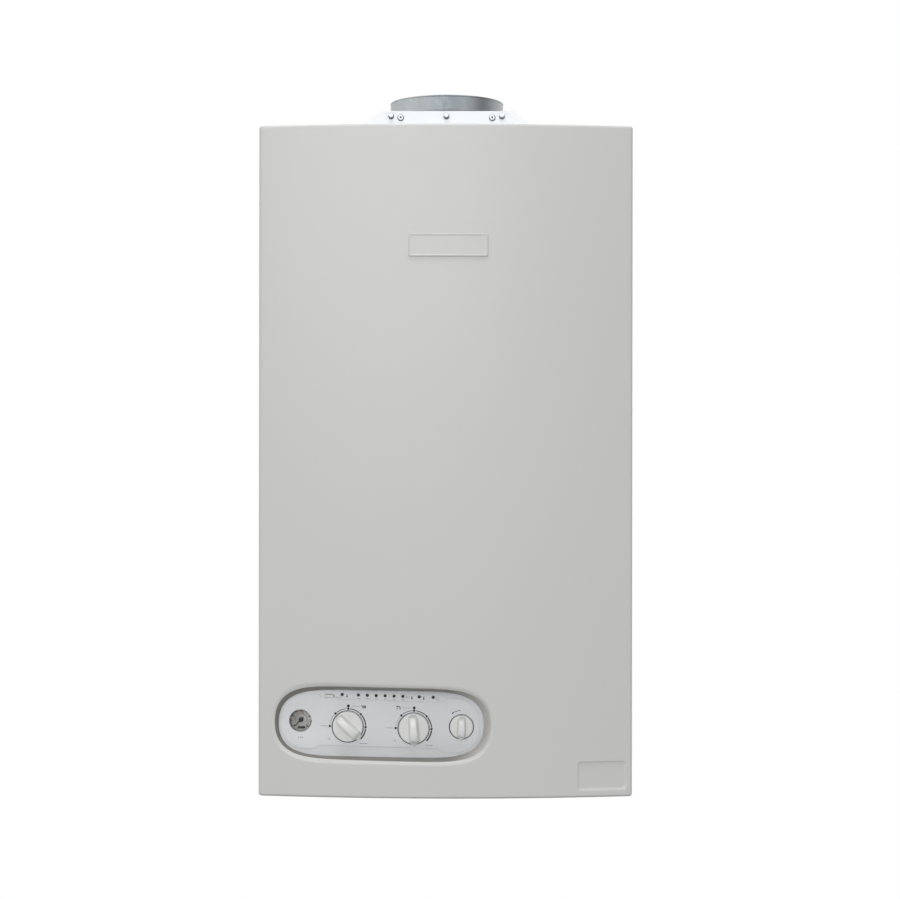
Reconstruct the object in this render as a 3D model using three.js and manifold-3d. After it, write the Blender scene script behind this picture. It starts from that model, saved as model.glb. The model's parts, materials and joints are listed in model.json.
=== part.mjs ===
// A wall-hung gas boiler with an open flue, taken apart into the pieces it is made of.
// Millimetres, +Z up, the front towards -Y. Heights here run from the bottom edge of the
// casing and depths from the wall; the last lines move the origin to the wall bracket.
import * as THREE from 'three';
import { mergeVertices } from 'three/addons/utils/BufferGeometryUtils.js';
import Module from 'manifold-3d';

const wasm = await Module();
wasm.setup();

// Clearances and the fineness of round faces

const seat = 0.3; // between pieces that rest on each other or turn in each other
const slip = 1.3; // between sheets that slide past each other
const overrun = 4; // how far a cut runs past the face that it opens
const finest = 48;
const fine = 32;
const round = 20;
const coarse = 12;

// Casing

const casing = {
  width: 400, height: 717, depth: 325, bow: 18, bowSteps: 18,
  sheet: 1.2, wallGap: 3, edgeRadius: 4, edgeSteps: 3, leastRadius: 0.4,
  topFlange: 24, bottomFlange: 22,
};
const recess = { fromSide: 6.3, width: 52.3, bottom: 5.3, height: 32.5, depth: 1.5, corner: 3 };
const plate = { width: 84.7, height: 24.4, centreX: 2.6, fromTop: 129, thickness: 1.6, corner: 1.5 };
const frame = { sheet: 1.5, standoff: 12, topDrop: 3.2 };
const bracket = {
  fromTop: 42, width: 300, height: 40, thickness: 2.5,
  hookX: 100, hookWidth: 24, hookLip: 12, slotMargin: 4, slotDrop: 16,
};
const topPanel = { sheet: 1.2, gap: 0.5, lip: 12, lipEnd: 12, windowMargin: 3 };
const floorPlate = {
  sheet: 1.5, gap: 0.5, boxGap: 7, tongueInset: 7, outerTongue: 50,
  screwFromSide: 32, screwInset: 12, screwSlot: 5,
};
const coverScrew = { shank: 2, length: 9, head: 4, headHeight: 1.8 };
const chassis = { gap: 0.5, sheet: 1.5, below: 6, above: 9, flange: 15 };

// Flue and draught hood

const flue = { radius: 65, wall: 1, height: 23.6, foot: 7, footHeight: 1 };
const hood = {
  rise: 30.2, slopeHeight: 66.5, bodyHeight: 135.7, topHalfWidth: 75.6, gap: 2,
  depth: 176, flueInset: 93, sheet: 1, spill: 40,
};
const hoodPlate = { sheet: 1.2, height: 53.2, screwDrop: 6, washerDrop: 7.5, screwX: 61.6, washerX: 50.9 };
const hexScrew = { shank: 1.9, length: 7, head: 2.9, headHeight: 3.4, flange: 3.4, flangeHeight: 0.8 };
const washerScrew = { shank: 1.9, length: 7, washer: 3.9, washerHeight: 0.9, head: 1.9, headHeight: 1.4 };
const thermostat = { x: 96, rise: 77, radius: 11, height: 8, lugWidth: 30, lugHeight: 9, lugSheet: 1 };

// Combustion stack

const stack = { fromFront: 89, depth: 146, halfWidth: 150, hoodGap: 0.4 };
const chamber = { height: 118, sheet: 1.2 };
const lining = { thickness: 15, endGap: 2 };
const exchanger = {
  height: 74.3, skin: 1.2, coreHalf: 8, finCount: 19, fin: 1.4, endGap: 5,
  stubRadius: 9, stubLength: 10.3,
};
const burner = {
  gap: 7, height: 34, barCount: 12, barPitch: 24, barWidth: 13, rimHeight: 16, rim: 1.5,
  slotWidth: 2, slotPitch: 44, slotDepth: 3, mouth: 5, mouthDepth: 9,
};
const manifold = {
  size: 16, endLength: 8, rise: 15, gap: 12, jet: 2.2, jetBase: 4.4, jetBaseLength: 4,
  jetLength: 9.4, footWidth: 10, footSheet: 2,
};
const electrode = {
  x: 70, rise: 14, ceramic: 4, tip: 1.3, tipLength: 38, outside: 26, plateWidth: 22, plateHeight: 12,
  plateSheet: 1.5, clearance: 0.6, terminal: 2, terminalLength: 8,
};

// Water and gas

const stub = {
  pitch: 65, y: 120, bottom: -24, thread: 13, threadTop: -1.5, tube: 9, tubeTop: 27.7,
  hex: 16, hexHeight: 9, bore: 9.5, boreDepth: 14, shoulder: 1.5,
};
const block = {
  z: 62, radius: 21, inner: 45, outer: 158, footRadius: 13, riserX: 65, riserRadius: 12, riserTop: 115,
  portRadius: 11, portZ: 112,
};
const plates = {
  halfWidth: 95, bottom: 98, top: 174, front: 76, count: 9, pitch: 3.6, lip: 2, corner: 16,
};
const pump = {
  x: 130, portRadius: 16, portBottom: 88, top: 212, volute: 43, voluteZ: 152, voluteFront: 140,
  voluteBack: 98, motor: 41, panelGap: 18, motorShoulder: 6, boxWidth: 46, boxTop: 216, boxInset: 8,
  boxGap: 8, ventX: 98, ventBoss: 9, ventBossTop: 196,
};
const vent = { radius: 13, height: 40, neck: 7, neckHeight: 5, cap: 5, capHeight: 9, shoulder: 3 };
const safety = { x: 98, front: 165, radius: 11, knob: 14, knobLength: 22, knobSkirt: 5, flutes: 8, flute: 2 };
const tap = {
  front: 160, radius: 10, neck: 8, bottom: 20, spindle: 3.5, knobTop: -5, knobHeight: 15, knob: 11,
  flutes: 10, flute: 1.5, holeMargin: 1.5,
};
const diverter = { x: 98, boss: 14, top: 92, width: 42, depth: 46, height: 58, corner: 8, cap: 5, capInset: 3 };
const waterPipe = { radius: 9, bend: 22, out: 28, kneeRise: 22, rise: 52, portTop: 90 };
const gasPipe = { radius: 9, bend: 18, kneeLow: 84, kneeHigh: 132 };
const feedPipe = { radius: 7, bend: 14, lowZ: 276, highZ: 292 };
const valve = {
  halfWidth: 34, front: 196, back: 140, bottom: 190, top: 244, boss: 13, bossHeight: 6, y: 168,
  coil: 15, coilLength: 30, coilX: 17, coilZ: 226, coilCap: 9, coilCapLength: 4,
  adjuster: 7, adjusterLength: 12, adjusterZ: 201, corner: 4, tapX: 20, tapRadius: 3.5,
};
const vessel = {
  radius: 143, thickness: 66, fromTop: 322, seam: 4, seamHeight: 5, dish: 14, port: 7, portDrop: 12,
  wall: 2, bore: 3,
};
const dishShares = [[0.6, 0.12], [0.86, 0.5]]; // of the vessel's flank and of its dish
const thinPipe = { radius: 5, bend: 14, fitting: 8, fittingLength: 5 };

// Control panel, its box and what it carries

const panel = {
  fromSide: 130.8, centreZ: 77.1, setback: 5, sheet: 3, turn: 1.66,
  halfWidth: 121, halfHeight: 52, corner: 16, step: 0.6,
};
const opening = {
  fromSide: 132.1, centreZ: 77.7, halfLength: 114.6, halfHeight: 40.4, power: 3.4, steps: 48,
  lipFromSide: 130.6, lipZ: 77.6, lipHalfLength: 108.4, lipHalfHeight: 33, lipGap: 1.4, lipSteps: 4,
  bite: 0.7, sink: 0.1,
};
const moulding = { // the raised middle of the fascia, measured from the panel's centre
  leftX: -87, rightX: 85, lobe: 27.5, stripTop: 24.6, stripBottom: 25.6, notch: 7,
  topLeft: -61, topRight: 65, bottomLeft: -68, bottomRight: 62,
};
const bigKnob = {
  radius: 16.2, skirt: 2.2, height: 15, gripHalf: 5.2, gripTaper: 4.2, crown: 3, beak: 6.4, beakLength: 2.3,
  gap: 1, well: 2.2, stem: 3, floorGap: 0.5, edge: 0.8,
};
const smallKnob = { ...bigKnob, radius: 12.4, height: 12, gripHalf: 4.4, gripTaper: 3.6, beak: 4.6, beakLength: 2 };
const knobRow = { heatingX: -35.2, waterX: 35.4, modeX: 86.6, bigZ: -4.4, modeZ: -1, heatingTurn: 48 };
const knobs = [
  { name: 'heating_knob', x: knobRow.heatingX, z: knobRow.bigZ, rest: knobRow.heatingTurn, form: bigKnob },
  { name: 'water_knob', x: knobRow.waterX, z: knobRow.bigZ, rest: 0, form: bigKnob },
  { name: 'mode_knob', x: knobRow.modeX, z: knobRow.modeZ, rest: 0, form: smallKnob },
];
const gauge = {
  x: -86.2, z: 0.3, window: 12, lens: 12.7, lensSheet: 1, cup: 13, cupWall: 1.8, dialDepth: 8,
  back: 20, needleGap: 3, needleSheet: 0.6, hub: 2.4, hubHeight: 1.2, needle: 9.5, needleHalf: 0.6,
  tail: 3.6, zeroTurn: 135, arbor: 0.9,
};
const lamp = { firstX: -24.8, z: 29.7, pitch: 9.55, pin: 1.4, hole: 1.7, barHeight: 4, barSheet: 3, proud: 0.2 };
const lampPlaceShares = [-1.83, 0, 1, 2, 3, 4, 5, 6.83, 8.4]; // along the strip, as shares of the pitch
const button = { x: -56.1, z: 27.8, width: 8.4, height: 3, proud: 1.8, gap: 0.3, flange: 1.2, flangeSheet: 1.2, length: 12 };
const box = {
  sheet: 2.5, depth: 85, corner: 10, boardDepth: 32, board: 1.6, boardMargin: 6, pillar: 3.2, pillarInset: 10,
  potRadius: 8, potHeight: 12, slotCount: 6, slotPitch: 12, slotWidth: 3, slotLength: 40,
  outletWidth: 70, outletHeight: 26, outletDrop: 8, outletCorner: 4,
  relayWidth: 18, relayHeight: 14, relayDepth: 14, relayPitch: 24, relayRow: 34, relayCount: 3, hubDepth: 1,
};
const hinge = { inset: 5, drop: 9.1, rod: 2.5, ear: 1.5, earRadius: 7, lug: 4.5, lugRadius: 6, lugGap: 1.5 };

// Sizes that follow from those above

const floorBottom = casing.sheet + floorPlate.gap;
const floorTop = floorBottom + floorPlate.sheet;
const leftSide = -casing.width / 2;
const rightSide = casing.width / 2;
const innerHalf = rightSide - casing.sheet - slip; // half the width between the cover's sides
const frameTop = casing.height - frame.topDrop;
const bracketZ = casing.height - bracket.fromTop;
const hookTop = bracketZ + bracket.thickness * 2;
const screwX = rightSide - floorPlate.screwFromSide;
const screwY = -casing.depth + floorPlate.screwInset;
const sideShares = [-1, 1]; // the left and the right copy of a piece

const hoodTop = casing.height + hood.rise;
const hoodShoulder = hoodTop - hood.slopeHeight;
const hoodBottom = hoodShoulder - hood.bodyHeight;
const stackFront = casing.depth - stack.fromFront;
const stackBack = stackFront - stack.depth;
const hoodFront = stackFront + hood.gap;
const hoodBack = hoodFront - hood.depth;
const flueY = hoodFront - hood.flueInset;
const exchangerTop = hoodBottom - stack.hoodGap;
const exchangerBottom = exchangerTop - exchanger.height;
const exchangerMiddle = (exchangerTop + exchangerBottom) / 2;
const portY = -(stackFront + stackBack) / 2;
const chamberTop = exchangerBottom - seat;
const chamberBottom = chamberTop - chamber.height;
const burnerTop = chamberBottom - burner.gap;
const burnerBottom = burnerTop - burner.height;
const manifoldZ = burnerBottom + manifold.rise;
const manifoldBack = stackFront + manifold.gap;
const electrodeZ = chamberBottom + electrode.rise;
const pipeX = stack.halfWidth + waterPipe.out;
const vesselZ = casing.height - vessel.fromTop;
const vesselBack = frame.standoff + seat;

const panelX = leftSide + panel.fromSide;
const panelFront = casing.depth - panel.setback;
const panelBack = panelFront - panel.sheet;
const openingX = leftSide + opening.fromSide;
const lipX = leftSide + opening.lipFromSide;
const boxLeft = panelX - panel.halfWidth;
const boxRight = panelX + panel.halfWidth;
const boxBottom = panel.centreZ - panel.halfHeight;
const boxTop = panel.centreZ + panel.halfHeight;
const boxBack = panelBack - box.depth;
const boardY = panelBack - box.boardDepth;
const potTop = boardY + box.potHeight;
const hingeY = panelBack - hinge.inset;
const hingeZ = boxBottom - hinge.drop;
const motorFront = boxBack - pump.panelGap;

// Solids from three.js geometry

function toSolid(geometry) {
  const bare = geometry.clone();
  bare.deleteAttribute('normal');
  bare.deleteAttribute('uv');
  const merged = mergeVertices(bare);
  const corners = merged.attributes.position;
  const point = (index) => new THREE.Vector3().fromBufferAttribute(corners, index);
  const faces = [];
  let volume = 0;
  for (let i = 0; i < merged.index.count; i += 3) {
    const [a, b, c] = [0, 1, 2].map((step) => merged.index.getX(i + step));
    if (a === b || b === c || c === a) continue; // a face that a pole has closed up
    faces.push([a, b, c]);
    volume += point(a).dot(point(b).cross(point(c)));
  }
  const outward = volume < 0 ? faces.map(([a, b, c]) => [a, c, b]) : faces;
  return new wasm.Manifold(new wasm.Mesh({
    numProp: 3,
    vertProperties: corners.array,
    triVerts: Uint32Array.from(outward.flat()),
  }));
}

function toGeometry(solid) {
  const mesh = solid.getMesh();
  const geometry = new THREE.BufferGeometry();
  geometry.setAttribute('position', new THREE.Float32BufferAttribute(mesh.vertProperties, mesh.numProp));
  geometry.setIndex(Array.from(mesh.triVerts));
  const flat = geometry.toNonIndexed();
  flat.computeVertexNormals();
  return flat;
}

const joined = (...solids) => solids.flat().reduce((whole, next) => whole.add(next));
const cut = (solid, ...tools) => tools.flat().reduce((whole, next) => whole.subtract(next), solid);

function cuboid(low, high) {
  const size = low.map((value, axis) => high[axis] - value);
  const middle = low.map((value, axis) => (high[axis] + value) / 2);
  return toSolid(new THREE.BoxGeometry(...size).translate(...middle));
}

// A geometry drawn up the Y axis, turned to lie along a direction from a point.
function alongFrom(geometry, from, direction) {
  const turn = new THREE.Quaternion();
  turn.setFromUnitVectors(new THREE.Vector3(0, 1, 0), direction.clone().normalize());
  return toSolid(geometry.applyQuaternion(turn).translate(from.x, from.y, from.z));
}

function rod(from, to, radius, sides = round, farRadius = radius) {
  const start = new THREE.Vector3(...from);
  const direction = new THREE.Vector3(...to).sub(start);
  const length = direction.length();
  const geometry = new THREE.CylinderGeometry(farRadius, radius, length, sides);
  return alongFrom(geometry.translate(0, length / 2, 0), start, direction);
}

// A profile of [radius, distance] pairs, revolved about a direction from a point.
function turned(profile, from, direction, sides = round) {
  const onAxis = profile[0][0] === 0;
  const closed = onAxis ? profile : [...profile, profile[0]];
  const points = closed.map(([radius, distance]) => new THREE.Vector2(radius, distance));
  const geometry = new THREE.LatheGeometry(points, sides);
  return alongFrom(geometry, new THREE.Vector3(...from), new THREE.Vector3(...direction));
}

const up = [0, 0, 1];
const down = [0, 0, -1];
const forward = [0, -1, 0];
const backward = [0, 1, 0];

function extrusion(points, depth) {
  const shape = new THREE.Shape(points.map(([u, v]) => new THREE.Vector2(u, v)));
  return new THREE.ExtrudeGeometry(shape, { depth, bevelEnabled: false });
}

// An outline seen from above, raised from a height.
function raised(points, bottom, height) {
  return toSolid(extrusion(points, height).translate(0, 0, bottom));
}

// An outline seen from the front, drawn forward from a depth behind the front.
function drawnForward(points, back, depth) {
  return toSolid(extrusion(points, depth).rotateX(Math.PI / 2).translate(0, -back, 0));
}

// An outline of depths and heights, drawn to the right from a place on X.
function drawnRight(points, left, width) {
  const basis = new THREE.Matrix4().makeBasis(
    new THREE.Vector3(0, 1, 0),
    new THREE.Vector3(0, 0, 1),
    new THREE.Vector3(1, 0, 0),
  );
  return toSolid(extrusion(points, width).applyMatrix4(basis).translate(left, 0, 0));
}

// Outlines

function arc(centreU, centreV, radius, from, to, steps) {
  return Array.from({ length: steps + 1 }, (_, step) => {
    const angle = THREE.MathUtils.degToRad(from + ((to - from) * step) / steps);
    return [centreU + radius * Math.cos(angle), centreV + radius * Math.sin(angle)];
  });
}

function roundedRectangle(left, bottom, right, top, radius, steps = 4) {
  return [
    ...arc(right - radius, bottom + radius, radius, -90, 0, steps),
    ...arc(right - radius, top - radius, radius, 0, 90, steps),
    ...arc(left + radius, top - radius, radius, 90, 180, steps),
    ...arc(left + radius, bottom + radius, radius, 180, 270, steps),
  ];
}

function oval(centreX, centreZ, halfLength, halfHeight) {
  const bend = (value) => Math.sign(value) * Math.abs(value) ** (2 / opening.power);
  return Array.from({ length: opening.steps }, (_, step) => {
    const angle = (2 * Math.PI * (step + 0.5)) / opening.steps;
    return [centreX + halfLength * bend(Math.cos(angle)), centreZ + halfHeight * bend(Math.sin(angle))];
  });
}

function fluted(radius, flute, count) {
  return Array.from({ length: count * 4 }, (_, step) => {
    const angle = (2 * Math.PI * step) / (count * 4);
    const reach = radius - (step % 4 === 0 ? flute : 0);
    return [reach * Math.cos(angle), reach * Math.sin(angle)];
  });
}

// The outline of the casing seen from above, drawn in by a distance: two straight sides,
// rounded front corners and a bowed front whose ends run on smoothly from the corners.
function casingOutline(inset, back) {
  const radius = Math.max(casing.edgeRadius - inset, casing.leastRadius);
  const cornerX = casing.width / 2 - inset - radius;
  const cornerY = -casing.depth + inset + radius;
  const slope = Math.atan2(2 * casing.bow, casing.width / 2);
  const sweep = 90 - THREE.MathUtils.radToDeg(slope);
  const endX = cornerX + radius * Math.sin(slope);
  const endY = cornerY - radius * Math.cos(slope);
  const bow = casing.bow * (endX / (casing.width / 2)) ** 2;
  const front = Array.from({ length: casing.bowSteps - 1 }, (_, step) => {
    const share = (2 * (step + 1)) / casing.bowSteps - 1;
    return [share * endX, endY - bow * (1 - share ** 2)];
  });
  return [
    [cornerX + radius, back],
    [-cornerX - radius, back],
    ...arc(-cornerX, cornerY, radius, 180, 180 + sweep, casing.edgeSteps),
    ...front,
    ...arc(cornerX, cornerY, radius, -sweep, 0, casing.edgeSteps),
  ];
}

// How far forward the casing's front is at a place across it.
function frontAt(x) {
  const outline = casingOutline(0, 0);
  const right = outline.findIndex(([u, v]) => v < 0 && u >= x && Math.abs(u) < casing.width / 2);
  const [x0, y0] = outline[right - 1];
  const [x1, y1] = outline[right];
  return -(y0 + ((y1 - y0) * (x - x0)) / (x1 - x0));
}

// Outlines of equal count stacked into a solid with flat ends.
function stacked(layers) {
  const count = layers[0].outline.length;
  const positions = layers.flatMap(({ z, outline }) => outline.flatMap(([x, y]) => [x, y, z]));
  const faces = [];
  for (let layer = 0; layer + 1 < layers.length; layer += 1) {
    for (let i = 0; i < count; i += 1) {
      const a = layer * count + i;
      const b = layer * count + ((i + 1) % count);
      faces.push(a, b, b + count, a, b + count, a + count);
    }
  }
  for (const [layer, order] of [[0, [0, 2, 1]], [layers.length - 1, [0, 1, 2]]]) {
    const outline = layers[layer].outline.map(([x, y]) => new THREE.Vector2(x, y));
    for (const face of THREE.ShapeUtils.triangulateShape(outline, [])) {
      faces.push(...order.map((corner) => layer * count + face[corner]));
    }
  }
  const geometry = new THREE.BufferGeometry();
  geometry.setAttribute('position', new THREE.Float32BufferAttribute(positions, 3));
  return toSolid(geometry.setIndex(faces));
}

// Rings of equal count joined one to the next and the last to the first.
function ringLoop(rings) {
  const count = rings[0].length;
  const faces = [];
  rings.forEach((ring, index) => {
    const next = (index + 1) % rings.length;
    for (let i = 0; i < count; i += 1) {
      const j = (i + 1) % count;
      faces.push(index * count + i, index * count + j, next * count + j);
      faces.push(index * count + i, next * count + j, next * count + i);
    }
  });
  const geometry = new THREE.BufferGeometry();
  geometry.setAttribute('position', new THREE.Float32BufferAttribute(rings.flat(2), 3));
  return toSolid(geometry.setIndex(faces));
}

// A path of straight runs and round bends that takes its steps in the bends only.
class BentPath extends THREE.Curve {
  constructor(corners, bend) {
    super();
    const points = corners.map((corner) => new THREE.Vector3(...corner));
    this.spans = [];
    let start = points[0];
    for (let i = 1; i + 1 < points.length; i += 1) {
      const reachIn = Math.min(bend, points[i].distanceTo(points[i - 1]) / 2);
      const reachOut = Math.min(bend, points[i].distanceTo(points[i + 1]) / 2);
      const into = points[i].clone().lerp(points[i - 1], reachIn / points[i].distanceTo(points[i - 1]));
      const out = points[i].clone().lerp(points[i + 1], reachOut / points[i].distanceTo(points[i + 1]));
      this.spans.push({ curve: new THREE.LineCurve3(start, into), steps: 1 });
      this.spans.push({ curve: new THREE.QuadraticBezierCurve3(into, points[i], out), steps: 5 });
      start = out;
    }
    this.spans.push({ curve: new THREE.LineCurve3(start, points.at(-1)), steps: 1 });
    this.stepCount = this.spans.reduce((sum, span) => sum + span.steps, 0);
  }

  locate(t) {
    let step = t * this.stepCount;
    for (const span of this.spans) {
      if (step <= span.steps || span === this.spans.at(-1)) {
        return { curve: span.curve, share: Math.min(step / span.steps, 1) };
      }
      step -= span.steps;
    }
    return null;
  }

  getPoint(t) {
    const { curve, share } = this.locate(t);
    return curve.getPoint(share);
  }

  getTangent(t) {
    const { curve, share } = this.locate(t);
    return curve.getTangent(share);
  }

  getPointAt(u) {
    return this.getPoint(u);
  }

  getTangentAt(u) {
    return this.getTangent(u);
  }
}

function tube(corners, radius, bend, sides = coarse) {
  const path = new BentPath(corners, bend);
  const shape = new THREE.Shape(
    arc(0, 0, radius, 0, 360, sides).slice(1).map(([u, v]) => new THREE.Vector2(u, v)),
  );
  return toSolid(new THREE.ExtrudeGeometry(shape, {
    steps: path.stepCount, extrudePath: path, bevelEnabled: false,
  }));
}

// A place on the control panel, which sits turned by a small angle, as seen from the front.
function onPanel(x, z) {
  const turn = THREE.MathUtils.degToRad(panel.turn);
  return [
    panelX + x * Math.cos(turn) + z * Math.sin(turn),
    panel.centreZ - x * Math.sin(turn) + z * Math.cos(turn),
  ];
}

const onPanelOutline = (points) => points.map(([x, z]) => onPanel(x, z));

// Finishes

const finish = {
  paint: { color: 0xd6d8d4, roughness: 0.42, metalness: 0 },
  hoodPaint: { color: 0xf0f2f2, roughness: 0.4, metalness: 0 },
  galvanised: { color: 0x9fa8ab, roughness: 0.4, metalness: 0.85 },
  zinc: { color: 0xb4b8ba, roughness: 0.35, metalness: 0.9 },
  copper: { color: 0xb06a45, roughness: 0.3, metalness: 0.95 },
  brass: { color: 0xb99a55, roughness: 0.35, metalness: 0.95 },
  stainless: { color: 0xb9bbbb, roughness: 0.3, metalness: 0.95 },
  castAlloy: { color: 0x9b9d9e, roughness: 0.55, metalness: 0.8 },
  fibre: { color: 0xe4dfd2, roughness: 0.95, metalness: 0 },
  ceramic: { color: 0xf1efe8, roughness: 0.3, metalness: 0 },
  whitePlastic: { color: 0xdcdddb, roughness: 0.45, metalness: 0 },
  knobPlastic: { color: 0xe4e2db, roughness: 0.4, metalness: 0 },
  greyPlastic: { color: 0x6d7073, roughness: 0.55, metalness: 0 },
  blackPlastic: { color: 0x1c1c1d, roughness: 0.45, metalness: 0 },
  redPlastic: { color: 0xb3261f, roughness: 0.4, metalness: 0 },
  redPaint: { color: 0xa8231d, roughness: 0.45, metalness: 0 },
  darkPaint: { color: 0x2b3a46, roughness: 0.5, metalness: 0.2 },
  board: { color: 0x2c6a45, roughness: 0.5, metalness: 0 },
  smoked: { color: 0x191a1b, roughness: 0.2, metalness: 0 },
  clear: { color: 0xe8eef0, roughness: 0.05, metalness: 0, transparent: true, opacity: 0.3 },
};

const boiler = new THREE.Group();

function piece(name, solid, look) {
  const mesh = new THREE.Mesh(toGeometry(solid), new THREE.MeshStandardMaterial(look));
  mesh.name = name;
  boiler.add(mesh);
}

// Casing pieces

// A solid with the casing's form, drawn in by a distance, with its long edges rounded.
function casingSolid(inset, bottom, top, back) {
  const radius = Math.max(casing.edgeRadius - inset, casing.leastRadius);
  const edge = Array.from({ length: casing.edgeSteps + 1 }, (_, step) => {
    const angle = (Math.PI * step) / (2 * casing.edgeSteps);
    return { rise: radius * (1 - Math.cos(angle)), outline: casingOutline(inset + radius * (1 - Math.sin(angle)), back) };
  });
  return stacked([
    ...edge.map(({ rise, outline }) => ({ z: bottom + rise, outline })),
    ...edge.reverse().map(({ rise, outline }) => ({ z: top - rise, outline })),
  ]);
}

// The rolled lip of the panel opening, as rings from the front surface round to the inside.
function openingLip() {
  const outside = [];
  const inside = [];
  for (let step = 0; step <= opening.lipSteps; step += 1) {
    const angle = (Math.PI * step) / (2 * opening.lipSteps);
    const share = Math.sin(angle);
    const blend = (from, to) => from + (to - from) * share;
    const centreX = blend(openingX, lipX);
    const centreZ = blend(opening.centreZ, opening.lipZ);
    const halfLength = blend(opening.halfLength, opening.lipHalfLength);
    const halfHeight = blend(opening.halfHeight, opening.lipHalfHeight);
    const grow = casing.sheet * share;
    const shown = oval(centreX, centreZ, halfLength, halfHeight);
    const hidden = oval(centreX, centreZ, halfLength + grow, halfHeight + grow);
    const start = oval(openingX, opening.centreZ, opening.halfLength, opening.halfHeight);
    const depthAt = (index, sheet) => {
      const surface = frontAt(start[index][0]) - opening.sink;
      const last = panelFront + opening.lipGap;
      return -(surface + (last - surface) * (1 - Math.cos(angle))) + sheet;
    };
    outside.push(shown.map(([x, z], index) => [x, depthAt(index, 0), z]));
    inside.push(hidden.map(([x, z], index) => [x, depthAt(index, casing.sheet * Math.cos(angle)), z]));
  }
  return ringLoop([...outside, ...inside.reverse()]);
}

function frontCover() {
  const top = casing.height;
  const back = -casing.wallGap;
  const recessRight = rightSide - recess.fromSide;
  const outer = casingSolid(0, 0, top, back);
  const inner = casingSolid(casing.sheet, casing.sheet, top - casing.sheet, back + overrun);
  const window = (flange, bottom) => raised(casingOutline(flange, back + overrun), bottom, casing.sheet + 2 * overrun);
  const hole = drawnForward(
    oval(openingX, opening.centreZ, opening.halfLength - opening.bite, opening.halfHeight - opening.bite),
    panelFront, casing.depth,
  );
  const pad = drawnForward(
    roundedRectangle(
      recessRight - recess.width - casing.sheet, recess.bottom - casing.sheet,
      recessRight + casing.sheet, recess.bottom + recess.height + casing.sheet,
      recess.corner + casing.sheet,
    ),
    panelBack, casing.depth,
  );
  const pressed = drawnForward(
    roundedRectangle(
      recessRight - recess.width, recess.bottom, recessRight, recess.bottom + recess.height, recess.corner,
    ),
    panelBack, casing.depth,
  );
  const behind = casingSolid(recess.depth + casing.sheet, casing.sheet / 2, top - casing.sheet, back + overrun);
  const thick = cut(pad.intersect(casingSolid(casing.sheet / 2, casing.sheet / 2, top, back)), behind);
  const skin = cut(pressed, casingSolid(recess.depth, -overrun, top + overrun, back));
  const holes = sideShares.map((side) => rod(
    [side * screwX, screwY, -overrun],
    [side * screwX, screwY, overrun],
    coverScrew.shank + seat, coarse,
  ));
  const shell = cut(
    outer, inner,
    window(casing.topFlange, top - casing.sheet - overrun),
    window(casing.bottomFlange, -overrun),
    hole, holes,
  );
  return cut(joined(shell, openingLip(), thick), skin);
}

function namePlate() {
  const top = casing.height - plate.fromTop + plate.height / 2;
  const outline = roundedRectangle(
    plate.centreX - plate.width / 2, top - plate.height,
    plate.centreX + plate.width / 2, top, plate.corner,
  );
  const slab = drawnForward(outline, panelFront, casing.depth);
  const shell = (inset) => casingSolid(inset, 0, casing.height, -casing.wallGap);
  return cut(slab.intersect(shell(-plate.thickness)), shell(-seat));
}

function coverScrewAt(side) {
  const place = [side * screwX, screwY];
  const head = rod([...place, 0], [...place, -coverScrew.headHeight], coverScrew.head, coarse, coverScrew.shank);
  return joined(head, rod([...place, -coverScrew.headHeight], [...place, coverScrew.length], coverScrew.shank, coarse));
}

function backFrame() {
  const half = innerHalf - seat;
  const bottom = floorTop + seat;
  const tray = cut(
    cuboid([-half, -frame.standoff, bottom], [half, 0, frameTop]),
    cuboid(
      [-half + frame.sheet, -frame.standoff + frame.sheet, bottom + frame.sheet],
      [half - frame.sheet, overrun, frameTop - frame.sheet],
    ),
  );
  const halfSlot = bracket.hookWidth / 2 + bracket.slotMargin;
  const slots = sideShares.map((side) => cuboid(
    [side * bracket.hookX - halfSlot, -frame.standoff - overrun, bracketZ - bracket.slotDrop],
    [side * bracket.hookX + halfSlot, -frame.standoff + frame.sheet + overrun, hookTop + seat],
  ));
  return cut(tray, slots);
}

function wallBracket() {
  const half = bracket.height / 2;
  const bar = cuboid(
    [-bracket.width / 2, -bracket.thickness, bracketZ - half],
    [bracket.width / 2, 0, bracketZ + half],
  );
  const reach = frame.standoff + seat;
  const profile = [
    [0, hookTop - bracket.thickness],
    [0, hookTop],
    [-reach, hookTop],
    [-reach, hookTop + bracket.hookLip],
    [-reach - bracket.thickness, hookTop + bracket.hookLip],
    [-reach - bracket.thickness, hookTop - bracket.thickness],
  ];
  const hooks = sideShares.map((side) => drawnRight(
    profile, side * bracket.hookX - bracket.hookWidth / 2, bracket.hookWidth,
  ));
  return joined(bar, hooks);
}

function topPanelSheet() {
  const top = casing.height - casing.sheet - topPanel.gap;
  const inset = casing.sheet + slip;
  const sheet = raised(casingOutline(inset, 0), top - topPanel.sheet, topPanel.sheet);
  const lip = cut(
    raised(casingOutline(inset, 0), top - topPanel.lip, topPanel.lip - topPanel.sheet / 2),
    raised(casingOutline(inset + topPanel.sheet, overrun), top - topPanel.lip - overrun, topPanel.lip + 2 * overrun),
    cuboid([-casing.width, topPanel.lipEnd - casing.depth, 0], [casing.width, overrun, casing.height + overrun]),
  );
  const halfWindow = hoodHalfWidthAt(top - topPanel.sheet) + topPanel.windowMargin;
  const window = cuboid(
    [-halfWindow, -hoodFront - hoodPlate.sheet - seat - topPanel.windowMargin, top - overrun],
    [halfWindow, -hoodBack + topPanel.windowMargin, top + overrun],
  );
  return cut(joined(sheet, lip), window);
}

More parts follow.
